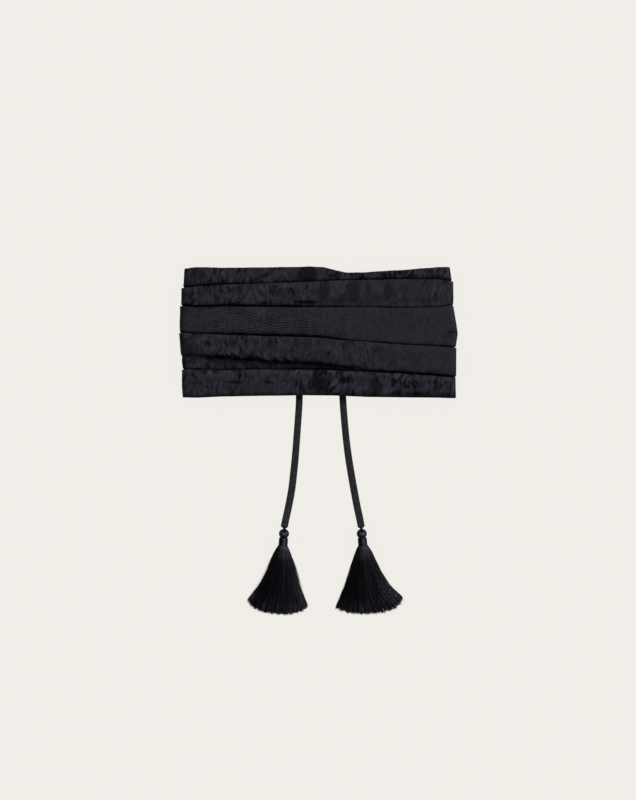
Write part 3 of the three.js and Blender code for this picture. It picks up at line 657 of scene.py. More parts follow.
            # under the fold and back again, then round the fold edge, in the fold's painted shade
            opened = openAt(upper, place[0], along)
            foldShade = blend(spec["closedFoldShade"], spec["openFoldShade"], opened)
            ceiling = crest - spec["foldThick"] * blend(1.15, 0.9, opened)
            nose = (crest - ceiling) / 2
            for q in (0.25, 0.6, 1.0):
                y = line - spec["slotDepth"] * q
                addRow(pleat, place, y, floorAt(opened) - 0.05 * q, vStart + 14 - 6 * q, foldShade)
            for q in (1.0, 0.55, 0.25):
                y = line - nose - (spec["slotDepth"] - nose) * q
                addRow(pleat, place, y, ceiling - 0.08 * q, vStart + 3 + 4 * q, foldShade)
            for angle in np.linspace(-90, 90, 8):
                a = math.radians(angle)
                y = line + stray - nose + nose * math.cos(a)
                v = vStart + nose * 1.57 * (1 - angle / 90)
                tone = blend(foldShade, 1, smoothStep(angle, -60, 55))
                addRow(pleat, place, y, ceiling + nose * (1 + math.sin(a)), v, tone)
        else:
            nose, stray = 0, 0
        # the body of the pleat: even rows, then closer ones down to the fold below
        rowsDown = [("even", k / stretch["rows"]) for k in range(1, stretch["rows"] + 1)]
        if not toHem:
            rowsDown += [("close", k) for k in closeRows]
        xTop = place[0]
        for spacing, k in rowsDown:
            x = xTop
            for attempt in range(2):  # the row's own place along the band depends a little on its share
                along = unrolled(x)
                top = lineAt(upper, x) + stray - nose
                end = lineAt(stretch["lower"], x) + (spec["hemOver"] if toHem else 0)
                deep = top - end
                close = 0 if toHem else np.minimum(spec["nearFold"], spec["evenShare"] * deep)
                y = top - (deep - close) * k if spacing == "even" else end + close * k
                full = blend(stretch["first"], stretch["last"], (top - y) / deep)
                fall = 1 - spec["pleatFall"] * smoothStep(full, 0.2, 1.0)
                place = placeAlong(pleat, full, spec["wall"] + spec["rise"] * fall)
                x = place[0]
            rise = spec["wall"] + spec["rise"] * fall * lift
            height = heightAt(stretch, (top - y) / deep, full, rise, x, y, along, top - y, y - end)
            tone = paintedShadeAndSheenAt(stretch, x, y, along, top - y, y - end)
            addRow(pleat, place, y, height, vStart - (top - y), tone)
        if toHem:
            # round the hem to the inner face, in the hem's painted shade
            radius = height / 2
            for angle in np.linspace(70, -80, 7):
                a = math.radians(angle)
                yHere = y - radius * math.cos(a) * 0.9
                addRow(pleat, place, yHere, radius * (1 + math.sin(a)), vStart - 40, spec["hemShade"])
    # the inner face, back from the hem to the top edge
    hemPlace = placeAlong(4, 1, spec["wall"])
    topPlace = placeAlong(0, 0, back)
    for s in np.linspace(0.01, 0.99, 11):
        place = [blend(low, high, s) for low, high in zip(hemPlace, topPlace)]
        y = blend(lineAt("hem", place[0]) + 1.2, lineAt("top", place[0]) - 1.6, s)
        addRow(4 if s < 0.5 else 0, place, y, -spec["deeper"] * frontness, -600 + 160 * s)

    x, left, right, y, h, v, tone, pleats = (np.concatenate(c, axis=1) for c in zip(*bandRows))
    along = unrolled(x)
    # painted shade round the right side fold, and by the left one
    tone = tone * np.where(part == 3, 1 - spec["rightTurnShade"] * np.minimum(share, 1 - share), 1.0)
    byLeft = np.choose(part, [0.0, 1.0, 1 - smoothStep(x, *spec["leftOver"]), 0.0, 0.0])
    tone = tone * blend(1, spec["leftTurnShade"], byLeft)
    # the cloth's marks, on the front and the upper half of the turns, with their painted shadows and sheen
    outer = (h > 0.02) & (frontness > 0.5)
    flatX = np.choose(part, [x, -180.0, x, 180.0, x])
    calm = np.ones_like(tone)
    for mark in clothMarks:
        mark = {**plainMark, **mark}
        sideways = flatX - mark["lean"] * (y - mark["y"])
        away = ((sideways - mark["x"]) / mark["wide"]) ** 2 + ((y - mark["y"]) / mark["high"]) ** 2
        near = np.exp(-away ** mark["sharp"]) * outer
        h = h - np.minimum(mark["dent"] * near, np.maximum(h - 0.4, 0))
        tone = tone * blend(1, mark["tone"], near)
        calm = calm * blend(1, mark["streaks"], near)
    # the wings stay under the front, and their ends at the centre back are pressed together
    h = np.where(part % 4 == 0, np.minimum(h, back - 0.03), h)
    fromEnd = np.choose(part, [share * spec["wingLong"][0], np.inf, np.inf, np.inf,
                               (1 - share) * spec["wingLong"][1]])
    h = h * blend(spec["pressed"], 1, smoothStep(fromEnd, 0, spec["pressedLong"]))
    grown = smoothStep(np.abs(x), spec["growsFrom"], spec["growsTo"])
    room = blend(spec["hollowMiddle"], spec["hollowSide"], grown)
    radius, turn = inner + h, np.pi * share
    middle = back + inner
    z = np.choose(part, [middle - radius, middle - radius * np.cos(turn), back + room + h,
                         middle + radius * np.cos(turn), middle - radius])
    x = np.choose(part, [x, left - radius * np.sin(turn), x, right + radius * np.sin(turn), x])
    figure, streaks, ribs = calm.copy(), calm.copy(), np.ones_like(x)
    for pleat, table in enumerate(clothLooks):
        mine = pleats[0] == pleat
        at = np.clip(along[:, mine], -spec["turnsAt"], spec["turnsAt"])
        figure[:, mine] *= column(table, "x", "mark", at)
        streaks[:, mine] *= column(table, "x", "streaks", at)
        ribs[:, mine] *= column(table, "x", "ribs", at)
        tone[:, mine] *= column(table, "x", "tone", at)
    phase = np.zeros_like(x)
    for oval in markOvals:
        away = ((x - oval["x"]) / oval["wide"]) ** 2 + ((y - oval["y"]) / oval["high"]) ** 2
        phase += oval["hill"] * np.exp(-away) * outer
    rows, columns = x.shape
    faces = [gridFaces(rows, columns, closeColumns=True)] + endCaps(rows, columns)
    looks = dict(figure=figure, streaks=streaks, ribs=ribs, tone=tone, phase=phase)
    piece = addPiece("pleatedBand", np.stack([x, y, z], axis=-1), [f[:, ::-1] for f in faces],
                     uv=np.stack([along, v], axis=-1), attributes=looks)
    faceOutwards(piece)
    return piece


pleatedBand = addBand(band)
print("band done")


tasselSpec = dict(
    axisHeight=6.6,
    headThreads=60, threadPoints=4, headRings=44, threadSwell=0.16,  # threads laid over the head
    core=dict(sides=56, rings=18, top=21.0, wide=0.88, long=0.92, thick=0.45),  # what fills the skirt
    strands=2200, rings=13, corners=3, strandRadius=0.27, tipRadius=0.75,  # the tip's is a share
    strandTop=20.6, lowest=0.35,  # where they start, and the least height of their middle line
    inset=0.97,  # how far out the strands start, as a share of the skirt
    laidAfter=30, laidFrom=25.3,  # the round section is laid flat on the way down
    roundEdge=0.98, edgeThin=0.8,  # how much thinner the skirt is at its sides, round and laid
    locks=46,
    lockPull=0.3,  # how much the strands of a lock draw together
    lockSpread=0.25,  # how far the middle of a strand's lock is off, in locks
    layerPower=1.7,  # more of them lie on top than below
    tipUneven=1.1, tipsUp=1.4, lockUneven=0.5,  # how unevenly they end, and how much sooner
    waveWide=0.5, waveHigh=0.25, waveTurns=(2, 7), lieUneven=0.35,  # how they wave and lie
    thickUneven=(0.8, 1.2),
    shortShare=0.3, shorter=5.0,  # strands that end sooner, and by how much on the whole
    strayShare=0.05, strayOut=1.03, straySpread=0.015,  # single strands that leave their lock
    standOut=0.25, bowOut=1.2,  # share of the strands near the sides that bow outwards, and how far
    bowFrom=0.88, bowOver=(0.12, 0.4),  # where across and down the skirt that starts
    bundles=64, fineBundles=150,  # strands that lie together and shine alike
    fineTint=(0.1, 1.9), ownTint=(0.3, 1.7),  # how unevenly
    # painted light and shade, as shares of the thread colour's lightness
    paintedShadeLeft=0.36, litFrom=-0.05, paintedNeckLight=4.2, paintedTipLight=1.6, paintedEdgeLight=1.2, lightest=7.0,
    paintedHeadShade=0.35, paintedHeadHighlight=6.5, paintedCrownShade=0.15, paintedHoleShadow=0.02, paintedWaistShade=0.25, paintedCoreShade=0.3,
)
tasselPlaces = dict(
    left=dict(x=-44.0, y=-254.3, turn=-5, seed=3),
    right=dict(x=55.7, y=-254.3, turn=5, seed=4),
)
# The head and neck: distances down from the tassel's place, and radii
headRows = [
    dict(down=3.2, radius=0.8), dict(down=3.0, radius=1.5), dict(down=1.5, radius=1.9),
    dict(down=1.1, radius=2.5), dict(down=1.7, radius=3.5), dict(down=2.6, radius=4.6),
    dict(down=3.6, radius=5.5), dict(down=4.7, radius=6.1), dict(down=5.8, radius=6.4),
    dict(down=7.2, radius=6.4), dict(down=8.6, radius=6.3), dict(down=9.8, radius=5.9),
    dict(down=10.7, radius=5.2), dict(down=11.4, radius=4.7), dict(down=12.4, radius=4.8),
    dict(down=22.8, radius=5.0),
]
headHole = dict(down=2.9, wide=2.3, high=2.9, deep=2.8)  # the opening for the loop, which tilts up
# The skirt: distances down from the same place, its left and right edge, its thickness and how high
# it lies
skirtRows = dict(
    left=[
        dict(down=20.0, left=-4.8, right=4.8, thick=9.6, lift=1.8),
        dict(down=22.6, left=-5.4, right=5.4, thick=10.8, lift=1.2),
        dict(down=25.3, left=-7.9, right=7.9, thick=11.6, lift=0.8),
        dict(down=33.0, left=-11.5, right=11.8, thick=10.8, lift=0.5),
        dict(down=43.0, left=-15.0, right=15.7, thick=9.6, lift=0.3),
        dict(down=58.0, left=-19.2, right=21.3, thick=8.2, lift=0.1),
        dict(down=75.0, left=-26.5, right=27.6, thick=6.8, lift=0.1),
        dict(down=86.0, left=-33.4, right=33.2, thick=6.0, lift=0.1),
        dict(down=97.0, left=-40.5, right=39.4, thick=5.2, lift=0.1),
        dict(down=113.0, left=-50.5, right=49.5, thick=4.4, lift=0.1),
    ],
    right=[
        dict(down=20.0, left=-4.8, right=4.8, thick=9.6, lift=1.8),
        dict(down=22.6, left=-5.4, right=5.4, thick=10.8, lift=1.2),
        dict(down=25.3, left=-7.9, right=8.2, thick=11.6, lift=0.8),
        dict(down=33.0, left=-11.8, right=12.0, thick=10.8, lift=0.5),
        dict(down=43.0, left=-15.9, right=15.3, thick=9.6, lift=0.3),
        dict(down=58.0, left=-21.6, right=20.6, thick=8.2, lift=0.1),
        dict(down=75.0, left=-29.3, right=30.2, thick=6.8, lift=0.1),
        dict(down=84.0, left=-34.4, right=37.5, thick=6.2, lift=0.1),
        dict(down=92.0, left=-39.0, right=46.0, thick=5.6, lift=0.1),
        dict(down=113.0, left=-51.5, right=66.0, thick=4.4, lift=0.1),
    ],
)
# How far down its strands end, in the middle and at its left and right edge
skirtEnds = dict(
    left=dict(middle=112.6, left=97.0, right=97.5),
    right=dict(middle=112.2, left=99.5, right=92.0),
)


# How far down the strand at place a across the skirt (-1 to 1) ends
def skirtEnd(side, a):
    ends = skirtEnds[side]
    outer = np.where(a < 0, ends["left"], ends["right"])
    return blend(ends["middle"], outer, np.minimum(np.abs(a), 1.05) ** 2.3)


# A point of the skirt from its place across (-1 to 1), its layer (-1 below to 1 on top) and the
# distance down: blended between the skirt's left and right edge, and over and under its middle height.
# The section is round at the neck, where it is the root of 1 - a^2 high, and flat once it is laid.
def skirtPoint(side, a, layer, down, spec):
    rows = skirtRows[side]
    left, right, thick, lift = (column(rows, "down", name, down)
                                for name in ("left", "right", "thick", "lift"))
    laid = smoothStep(down, spec["laidFrom"], spec["laidFrom"] + spec["laidAfter"])
    edge = np.clip(np.abs(a), 0, 1)
    half = thick / 2 * np.sqrt(1 - blend(spec["roundEdge"], spec["edgeThin"], laid) * edge**2)
    middle = lift + blend(thick / 2, half, laid)
    x = blend(left, right, (a + 1) / 2)
    return np.stack(np.broadcast_arrays(x, -down, middle + layer * half), axis=-1)


# Points in a tassel's own frame, turned and moved to its place
def turned(points, spot):
    angle = math.radians(spot["turn"])
    x, y = points[..., 0], points[..., 1]
    return np.stack([spot["x"] + x * math.cos(angle) - y * math.sin(angle),
                     spot["y"] + x * math.sin(angle) + y * math.cos(angle), points[..., 2]], axis=-1)


# A body turned about the tassel's axis from rows of distance down and radius
def turnedBody(downs, radii, angles, height):
    x, z = -radii * np.cos(angles), height + radii * np.sin(angles)
    return np.stack(np.broadcast_arrays(x, -downs, z), axis=-1)


# A hill from 0 to 1 round a middle: e^(-t^2)
def hill(value, middle, wide):
    return np.exp(-(((value - middle) / wide) ** 2))


# The value of the bundle that each strand lies in; the bundles lie side by side across the skirt
def ofBundle(place, values):
    number = np.floor((place + 1.2) / 2.4 * len(values)).astype(int)
    return values[np.clip(number, 0, len(values) - 1)]


def addTassel(side, spec):
    spot = tasselPlaces[side]
    rng = np.random.default_rng(spot["seed"])
    points, quads, caps, threadPlace, tint = [], [], [], [], []

    # Adds a part: its points, its faces and end faces, and each point's thread and lightness, which carries
    # painted light and shade
    def add(block, partQuads, partCaps, thread, lightness):
        start = sum(len(p) for p in points)
        points.append(block.reshape(-1, 3))
        quads.append(partQuads + start)
        caps.extend(f + start for f in partCaps)
        threadPlace.append(np.broadcast_to(thread, block.shape[:-1]).reshape(-1))
        tint.append(np.broadcast_to(lightness, block.shape[:-1]).reshape(-1))

    # head and neck, with threads laid over the mould: the radius swells at every thread. The opening
    # for the loop is a dent with painted shadow in it, and the head has a painted highlight across its widest
    # part and painted shade at its crown and its waist.
    around = spec["headThreads"] * spec["threadPoints"]
    angles = np.linspace(0, 2 * np.pi, around, endpoint=False)[None, :]
    profile = np.linspace(0, len(headRows) - 1, spec["headRings"])[:, None]
    down, radius = (np.interp(profile, range(len(headRows)), [r[name] for r in headRows])
                    for name in ("down", "radius"))
    across = radius * np.cos(angles)
    outside = smoothStep(radius, 1.0, 3.0)
    away = (across / headHole["wide"]) ** 2 + ((down - headHole["down"]) / headHole["high"]) ** 2
    hole = np.exp(-away**2) * (np.sin(angles) > 0) * outside
    thread = spec["threadSwell"] * np.abs(np.sin(angles * spec["headThreads"] / 2))
    swollen = radius + thread * outside - headHole["deep"] * hole
    head = turnedBody(down, swollen, angles, spec["axisHeight"])
    lightness = blend(spec["paintedHeadShade"], spec["paintedHeadHighlight"], hill(down, 7.0, 2.2) * hill(across, -0.5, 3.4))
    lightness = lightness * blend(spec["paintedCrownShade"], 1, outside) * blend(1, spec["paintedHoleShadow"], hole)
    lightness = lightness * blend(1, spec["paintedWaistShade"], hill(down, 11.2, 1.0))
    rings = spec["headRings"]
    add(head, gridFaces(rings, around, closeColumns=True), endCaps(rings, around), angles, lightness)

    # the core that fills the skirt, a little smaller than it and ending sooner, in painted shade
    core = spec["core"]
    ring = np.linspace(0, 2 * np.pi, core["sides"], endpoint=False)[None, :]
    t = np.linspace(0, 1, core["rings"])[:, None]
    a = -np.cos(ring) * core["wide"]
    layer = np.sin(ring) * core["thick"] * np.sqrt(1 - a**2)
    down = core["top"] + (skirtEnd(side, a) - core["top"]) * core["long"] * t
    block = skirtPoint(side, a, layer, down, spec)
    faces = gridFaces(core["rings"], core["sides"], closeColumns=True)
    add(block, faces, endCaps(core["rings"], core["sides"]), ring * 8, spec["paintedCoreShade"])

    # the strands: each keeps its place across and its layer, drawn towards its lock on the way down
    count, rings, corners = spec["strands"], spec["rings"], spec["corners"]
    place = (np.arange(count) + rng.uniform(0, 1, count)) / count * 2 - 1
    lock = (np.floor((place + 1) / 2 * spec["locks"]) + 0.5) / spec["locks"] * 2 - 1
    place = spec["inset"] * place
    lock = spec["inset"] * lock + rng.normal(0, spec["lockSpread"] / spec["locks"], count)
    layer = 1 - 2 * rng.uniform(0, 1, count) ** spec["layerPower"]
    stray = rng.uniform(0, 1, count) < spec["strayShare"]
    strayPlace = place * spec["strayOut"] + rng.normal(0, spec["straySpread"], count)
    place = np.where(stray, strayPlace, place)
    end = skirtEnd(side, place) + rng.normal(0, spec["tipUneven"], count)
    short = rng.uniform(0, 1, count) < spec["shortShare"]
    end = end - np.where(short, rng.exponential(spec["shorter"], count), 0)
    end = end - spec["tipsUp"] + spec["lockUneven"] * np.sin(lock * 37)
    t = np.linspace(0, 1, rings)[None, :]
    down = blend(spec["strandTop"], end[:, None], t)
    draw = spec["lockPull"] * np.sin(np.pi * np.clip(t * 1.15, 0, 1)) * (1 - 0.75 * stray[:, None])
    across = place[:, None] + (lock - place)[:, None] * draw
    wave = rng.normal(0, 1, (count, 1))
    wave = wave * np.sin(t * rng.uniform(*spec["waveTurns"], (count, 1)) + rng.uniform(0, 6, (count, 1)))
    line = skirtPoint(side, across, layer[:, None], down, spec)
    line[..., 0] += wave * spec["waveWide"] * t * (1 + 1.5 * stray[:, None])
    bow = np.where(rng.uniform(0, 1, count) < spec["standOut"], rng.exponential(spec["bowOut"], count), 0)
    bow = bow * np.sign(place) * smoothStep(np.abs(place), spec["bowFrom"], 1.0)
    line[..., 0] += bow[:, None] * np.sin(0.85 * np.pi * t) * smoothStep(t, *spec["bowOver"])
    line[..., 2] += spec["lieUneven"] * rng.normal(0, 1, (count, 1)) * t + spec["waveHigh"] * wave * t
    line[..., 2] = np.maximum(line[..., 2], spec["lowest"])
    # a three-sided tube along each
    thick = spec["strandRadius"] * blend(1.0, spec["tipRadius"], t)
    thick = thick * rng.uniform(*spec["thickUneven"], (count, 1))
    tangent = np.gradient(line, axis=1)
    tangent /= np.linalg.norm(tangent, axis=2)[..., None]
    sideways = np.stack([-tangent[..., 1], tangent[..., 0], 0 * tangent[..., 0]], axis=-1)
    sideways /= np.linalg.norm(sideways, axis=2)[..., None]
    up = np.cross(tangent, sideways)
    spin = rng.uniform(0, 2 * np.pi, (count, 1, 1, 1))
    spin = spin + np.arange(corners)[:, None] * 2 * np.pi / corners
    outwards = np.cos(spin) * sideways[:, :, None, :] + np.sin(spin) * up[:, :, None, :]
    tube = line[:, :, None, :] + thick[..., None, None] * outwards
    first = (np.arange(count) * rings * corners)[:, None, None]
    faces = (gridFaces(rings, corners, closeColumns=True) + first).reshape(-1, 4)
    roots, tips = ((cap + first).reshape(-1, corners) for cap in endCaps(rings, corners))
    thread = rng.uniform(0, 1, (count, 1, 1))
    # painted light where the strands would catch the light: on the right, over the neck's bulge, at the tips
    # and towards the right edge, and painted shade on the left
    lit = blend(spec["paintedShadeLeft"], 1, smoothStep(across, spec["litFrom"] - 0.2, spec["litFrom"] + 0.2))
    lit = lit + spec["paintedNeckLight"] * (1 - smoothStep(t, 0.1, 0.28)) * hill(across, 0.15, 0.5)
    lit = lit + spec["paintedTipLight"] * smoothStep(t, 0.78, 1)
    lit = lit + spec["paintedEdgeLight"] * smoothStep(across, 0.3, 0.9) * smoothStep(t, 0.4, 0.8)
    bundle = ofBundle(place, rng.uniform(0, 1, spec["bundles"]) ** 2 * 1.05 + 0.65)
    fine = ofBundle(place, rng.uniform(*spec["fineTint"], spec["fineBundles"]))
    ownTint = rng.uniform(*spec["ownTint"], count)[:, None] * blend(1, fine[:, None], smoothStep(t, 0.1, 0.5))
    lightness = np.minimum(bundle[:, None] * ownTint * lit, spec["lightest"])[..., None]
    add(tube, faces, [tips, roots], thread, lightness)
    return addPiece(f"{side}Tassel", turned(np.concatenate(points), spot), quads + caps,
                    attributes=dict(threadPlace=np.concatenate(threadPlace), tint=np.concatenate(tint)))


bindingSpec = dict(
    top=12.8, bottom=22.4, radius=5.75, inside=5.3, turns=13, turnRings=8, sides=72,
    relief=0.24, edgeIn=0.45, edgeLong=0.06,  # how far the ends draw in, over that share of the height
    dark=0.1, light=3.8, litAt=0.2, litWide=0.33,  # painted shade and painted highlight, as shares of the thread colour's lightness, and where the highlight lies
)
loopSpec = dict(
    radius=1.0, cord=0.85, stretch=2.1, down=1.2, lift=1.9, tilt=0.45,
    plies=3, twist=9, relief=0.16, rings=64, sides=15,
)


# The neck's binding: rings of thread, whose radius goes up and down by half a sine for every turn, on
# a slow helix
def addBinding(side, spec):
    angles = np.linspace(0, 2 * np.pi, spec["sides"], endpoint=False)[None, :]
    t = np.linspace(0, 1, spec["turns"] * spec["turnRings"] + 1)[:, None]
    down = blend(spec["top"], spec["bottom"], t)
    insideDown = np.array([spec["bottom"], spec["top"]])[:, None]
    relief = spec["relief"] * np.abs(np.sin(np.pi * spec["turns"] * t + angles / 2))
    edge = spec["edgeIn"] * (1 - np.clip(np.minimum(t, 1 - t) / spec["edgeLong"], 0, 1)) ** 2
    outside = turnedBody(down, spec["radius"] + relief - edge, angles, tasselSpec["axisHeight"])
    inside = turnedBody(insideDown, spec["inside"], angles, tasselSpec["axisHeight"])
    body = np.concatenate([outside, inside])
    faces = gridFaces(*body.shape[:2], closeRows=True, closeColumns=True)
    # painted highlight down the binding right of its middle, and painted shade round the rest
    tint = blend(spec["dark"], spec["light"], hill(-np.cos(angles), spec["litAt"], spec["litWide"]))
    piece = addPiece(f"{side}Binding", turned(body, tasselPlaces[side]), [faces],
                     attributes=dict(threadPlace=np.concatenate([down, insideDown]), tint=tint))
    faceOutwards(piece)
    return piece


# The loop: a twisted cord round an oval, its radius swelling with each ply
def addLoop(side, spec):
    turn = np.linspace(0, 2 * np.pi, spec["rings"], endpoint=False)[:, None]
    section = np.linspace(0, 2 * np.pi, spec["sides"], endpoint=False)[None, :]
    ply = np.abs(np.cos((section * spec["plies"] + turn * spec["twist"]) / 2))
    thick = spec["cord"] * (1 + spec["relief"] * (ply - 0.5))
    reach = spec["radius"] + thick * np.cos(section)
    x = reach * np.cos(turn)
    y = -spec["down"] + reach * np.sin(turn) * spec["stretch"]
    z = tasselSpec["axisHeight"] + spec["lift"] - spec["tilt"] * y + thick * np.sin(section)
    body = np.stack([x, y, z], axis=-1)
    faces = gridFaces(spec["rings"], spec["sides"], closeRows=True, closeColumns=True)
    piece = addPiece(f"{side}Loop", turned(body, tasselPlaces[side]), [faces],
                     attributes=dict(threadPlace=turn * 3 + section, tint=1.0))
    faceOutwards(piece)
    return piece


tassels = {side: addTassel(side, tasselSpec) for side in sides}
bindings = {side: addBinding(side, bindingSpec) for side in sides}
loops = {side: addLoop(side, loopSpec) for side in sides}
print("tassels done")


# Noises over the cloth, in cells of a width and height in metres, each multiplied and raised. The first
# three lie straight on the cloth, and what follows the lean moves with it.
clothNoises = dict(
    zone=dict(cell=(0.03, 0.045), detail=1.0, times=1.3, plus=0.4),  # a strong and a weak watermark
    wander=dict(cell=(0.03, 0.03), detail=1.5, times=4.5, plus=0.0),  # of the ribs, in ribs
    weave=dict(cell=(0.0018, 0.003), detail=2.0, times=0.85, plus=0.575),
    lean=dict(cell=(0.028, 0.02), detail=1.0, times=0.014, plus=0.0),  # to and fro along the band, metres
    figure=dict(cell=(0.018, 0.034), detail=2.0, times=3.4, plus=0.0),  # bands of the watermark
    streak=dict(cell=(0.0037, 0.0115), detail=2.0, times=4.2, plus=-2.1),  # short, across the ribs
    lump=dict(cell=(0.013, 0.013), detail=1.0, times=3.2, plus=-1.6),  # broader than the streaks
)
clothSpec = dict(
    colour="#25262c", shadeColour="#24232a",  # the cool sheen of the cloth, and its black where it is dark, in the watermark and in the painted shade
    shadeFrom=0.2, shadeTo=0.7,
    roughness=0.5, pressedRoughness=-0.05, gloss=0.03,
    contrast=0.7, lumpShare=0.7, figureShare=0.5, ribShare=0.5, darkest=0.25,
    slant=-0.15,  # how far the streaks lean over for every metre up
    ribSpacing=0.0028,  # the real ribs are about 0.5 mm apart, too fine to show
    relief=0.12, reliefHeight=0.0004,
)
times, plus, timesPlus = (dict(operation=name) for name in ("MULTIPLY", "ADD", "MULTIPLY_ADD"))
most, sine = dict(operation="MAXIMUM"), dict(operation="SINE")


# Silk faille that was calendered to a moire: ribs along the band, pressed flat in places. That gives the
# eye its watermark: bands where the phase of two layers' ribs changes, so a sine of a stretched noise,
# with short streaks across the ribs, in zones that are stronger and weaker.
def moireCloth(spec):
    material, tree, shader = newMaterial("blackMoireFaille")
    uv = addNode(tree, "ShaderNodeUVMap", dict(uv_map="clothUV"))
    marks = {name: addNode(tree, "ShaderNodeAttribute", dict(attribute_name=name), output="Fac")
             for name in ("figure", "streaks", "ribs", "tone", "phase")}
    across = addNode(tree, "ShaderNodeSeparateXYZ", inputs={0: uv}, output="Y")
    place, noise = uv, {}
    for name, look in clothNoises.items():
        perMetre = (1 / look["cell"][0], 1 / look["cell"][1], 1)
        cell = addNode(tree, "ShaderNodeVectorMath", times, {0: place, 1: perMetre})
        cloud = addNode(tree, "ShaderNodeTexNoise", dict(noise_dimensions="2D"),
                        {"Vector": cell, "Scale": 1.0, "Detail": look["detail"]})
        noise[name] = addNode(tree, "ShaderNodeMath", timesPlus,
                              {0: cloud, 1: look["times"], 2: look["plus"]})
        if name == "lean":
            lean = addNode(tree, "ShaderNodeMath", timesPlus, {0: across, 1: spec["slant"], 2: noise[name]})
            lean = addNode(tree, "ShaderNodeCombineXYZ", inputs={"X": lean})
            place = addNode(tree, "ShaderNodeVectorMath", plus, {0: uv, 1: lean})
    # the watermark: its bands, and the streaks and lumps, in zones
    figure = addNode(tree, "ShaderNodeMath", plus, {0: noise["figure"], 1: marks["phase"]})
    figure = addNode(tree, "ShaderNodeMath", times, {0: figure, 1: 2 * math.pi})
    figure = addNode(tree, "ShaderNodeMath", sine, {0: figure})
    figure = addNode(tree, "ShaderNodeMath", times, {0: figure, 1: marks["figure"]})
    streaks = addNode(tree, "ShaderNodeMath", timesPlus,
                      {0: noise["lump"], 1: spec["lumpShare"], 2: noise["streak"]})
    streaks = addNode(tree, "ShaderNodeMath", times, {0: streaks, 1: marks["streaks"]})
    both = addNode(tree, "ShaderNodeMath", timesPlus, {0: figure, 1: spec["figureShare"], 2: streaks})
    watermark = addNode(tree, "ShaderNodeMath", times, {0: both, 1: noise["zone"]})
    # ribs, slowly wandering
    ribs = addNode(tree, "ShaderNodeMath", timesPlus,
                   {0: across, 1: 1 / spec["ribSpacing"], 2: noise["wander"]})
    ribs = addNode(tree, "ShaderNodeMath", times, {0: ribs, 1: 2 * math.pi})
    ribs = addNode(tree, "ShaderNodeMath", sine, {0: ribs})
    seenRibs = addNode(tree, "ShaderNodeMath", times, {0: ribs, 1: marks["ribs"]})
    # all of it together, darkened and lightened by the tone attribute, which carries painted shade and
    # painted sheen as well as the cloth's own tone
    value = addNode(tree, "ShaderNodeMath", timesPlus, {0: watermark, 1: spec["contrast"], 2: noise["weave"]})
    value = addNode(tree, "ShaderNodeMath", timesPlus, {0: seenRibs, 1: spec["ribShare"], 2: value})
    value = addNode(tree, "ShaderNodeMath", most, {0: value, 1: spec["darkest"]})
    value = addNode(tree, "ShaderNodeMath", times, {0: value, 1: marks["tone"]})
    cool = addNode(tree, "ShaderNodeMapRange",
                   inputs={"Value": value, "From Min": spec["shadeFrom"], "From Max": spec["shadeTo"]})
    dark, light = linearColour(spec["shadeColour"]), linearColour(spec["colour"])
    colour = addNode(tree, "ShaderNodeMix", dict(data_type="RGBA"), {0: cool, 6: dark, 7: light}, output=2)
    colour = addNode(tree, "ShaderNodeVectorMath", dict(operation="SCALE"), {0: colour, "Scale": value})
    roughness = addNode(tree, "ShaderNodeMath", timesPlus,
                        {0: watermark, 1: spec["pressedRoughness"], 2: spec["roughness"]})
    height = addNode(tree, "ShaderNodeMath", plus, {0: ribs, 1: noise["streak"]})
    bump = addNode(tree, "ShaderNodeBump",
                   inputs={"Strength": spec["relief"], "Distance": spec["reliefHeight"], "Height": height})
    setInputs(tree, shader, {"Base Color": colour, "Roughness": roughness, "Normal": bump,
                             "Specular IOR Level": spec["gloss"]})
    return material


ribbonSpec = dict(
    colour="#28292e", roughness=0.6, gloss=0.06,
    ribSpacing=0.0014,  # the real ribs are about 0.7 mm apart, too fine to show
    ribShare=0.12, relief=0.3, reliefHeight=0.0003,
    blotches=260.0, blotchTimes=1.7, blotchPlus=0.15,  # blotches of the dye, how many a metre
)


# Woven grosgrain ribbon: it gives the eye ribs across it, and slightly uneven black dye
def grosgrain(spec):
    material, tree, shader = newMaterial("blackGrosgrain")
    uv = addNode(tree, "ShaderNodeUVMap", dict(uv_map="clothUV"))
    along = addNode(tree, "ShaderNodeSeparateXYZ", inputs={0: uv}, output="Y")
    ribs = addNode(tree, "ShaderNodeMath", times, {0: along, 1: 2 * math.pi / spec["ribSpacing"]})
    ribs = addNode(tree, "ShaderNodeMath", sine, {0: ribs})
    blotch = addNode(tree, "ShaderNodeTexNoise", dict(noise_dimensions="2D"),
                     {"Vector": uv, "Scale": spec["blotches"], "Detail": 2.0})
    value = addNode(tree, "ShaderNodeMath", timesPlus,
                    {0: blotch, 1: spec["blotchTimes"], 2: spec["blotchPlus"]})
    value = addNode(tree, "ShaderNodeMath", timesPlus, {0: ribs, 1: spec["ribShare"], 2: value})
    colour = addNode(tree, "ShaderNodeVectorMath", dict(operation="SCALE"),
                     {0: linearColour(spec["colour"])[:3], "Scale": value})
    bump = addNode(tree, "ShaderNodeBump",
                   inputs={"Strength": spec["relief"], "Distance": spec["reliefHeight"], "Height": ribs})
    setInputs(tree, shader, {"Base Color": colour, "Roughness": spec["roughness"], "Normal": bump,
                             "Specular IOR Level": spec["gloss"]})
    return material


# The threads' sheen is the same; fineness is how fast the dye changes from thread to thread
shine = "#e4e6f2"
skirtThreadSpec = dict(colour="#17171d", shine=shine, roughness=0.33, gloss=0.14, fineness=30.0)
windingSpec = dict(colour="#1c1c20", shine=shine, roughness=0.4, gloss=0.04, fineness=6.0)
loopCordSpec = dict(colour="#08080a", shine=shine, roughness=0.6, gloss=0.08, fineness=6.0)
dyeUneven = dict(times=0.8, plus=0.6)


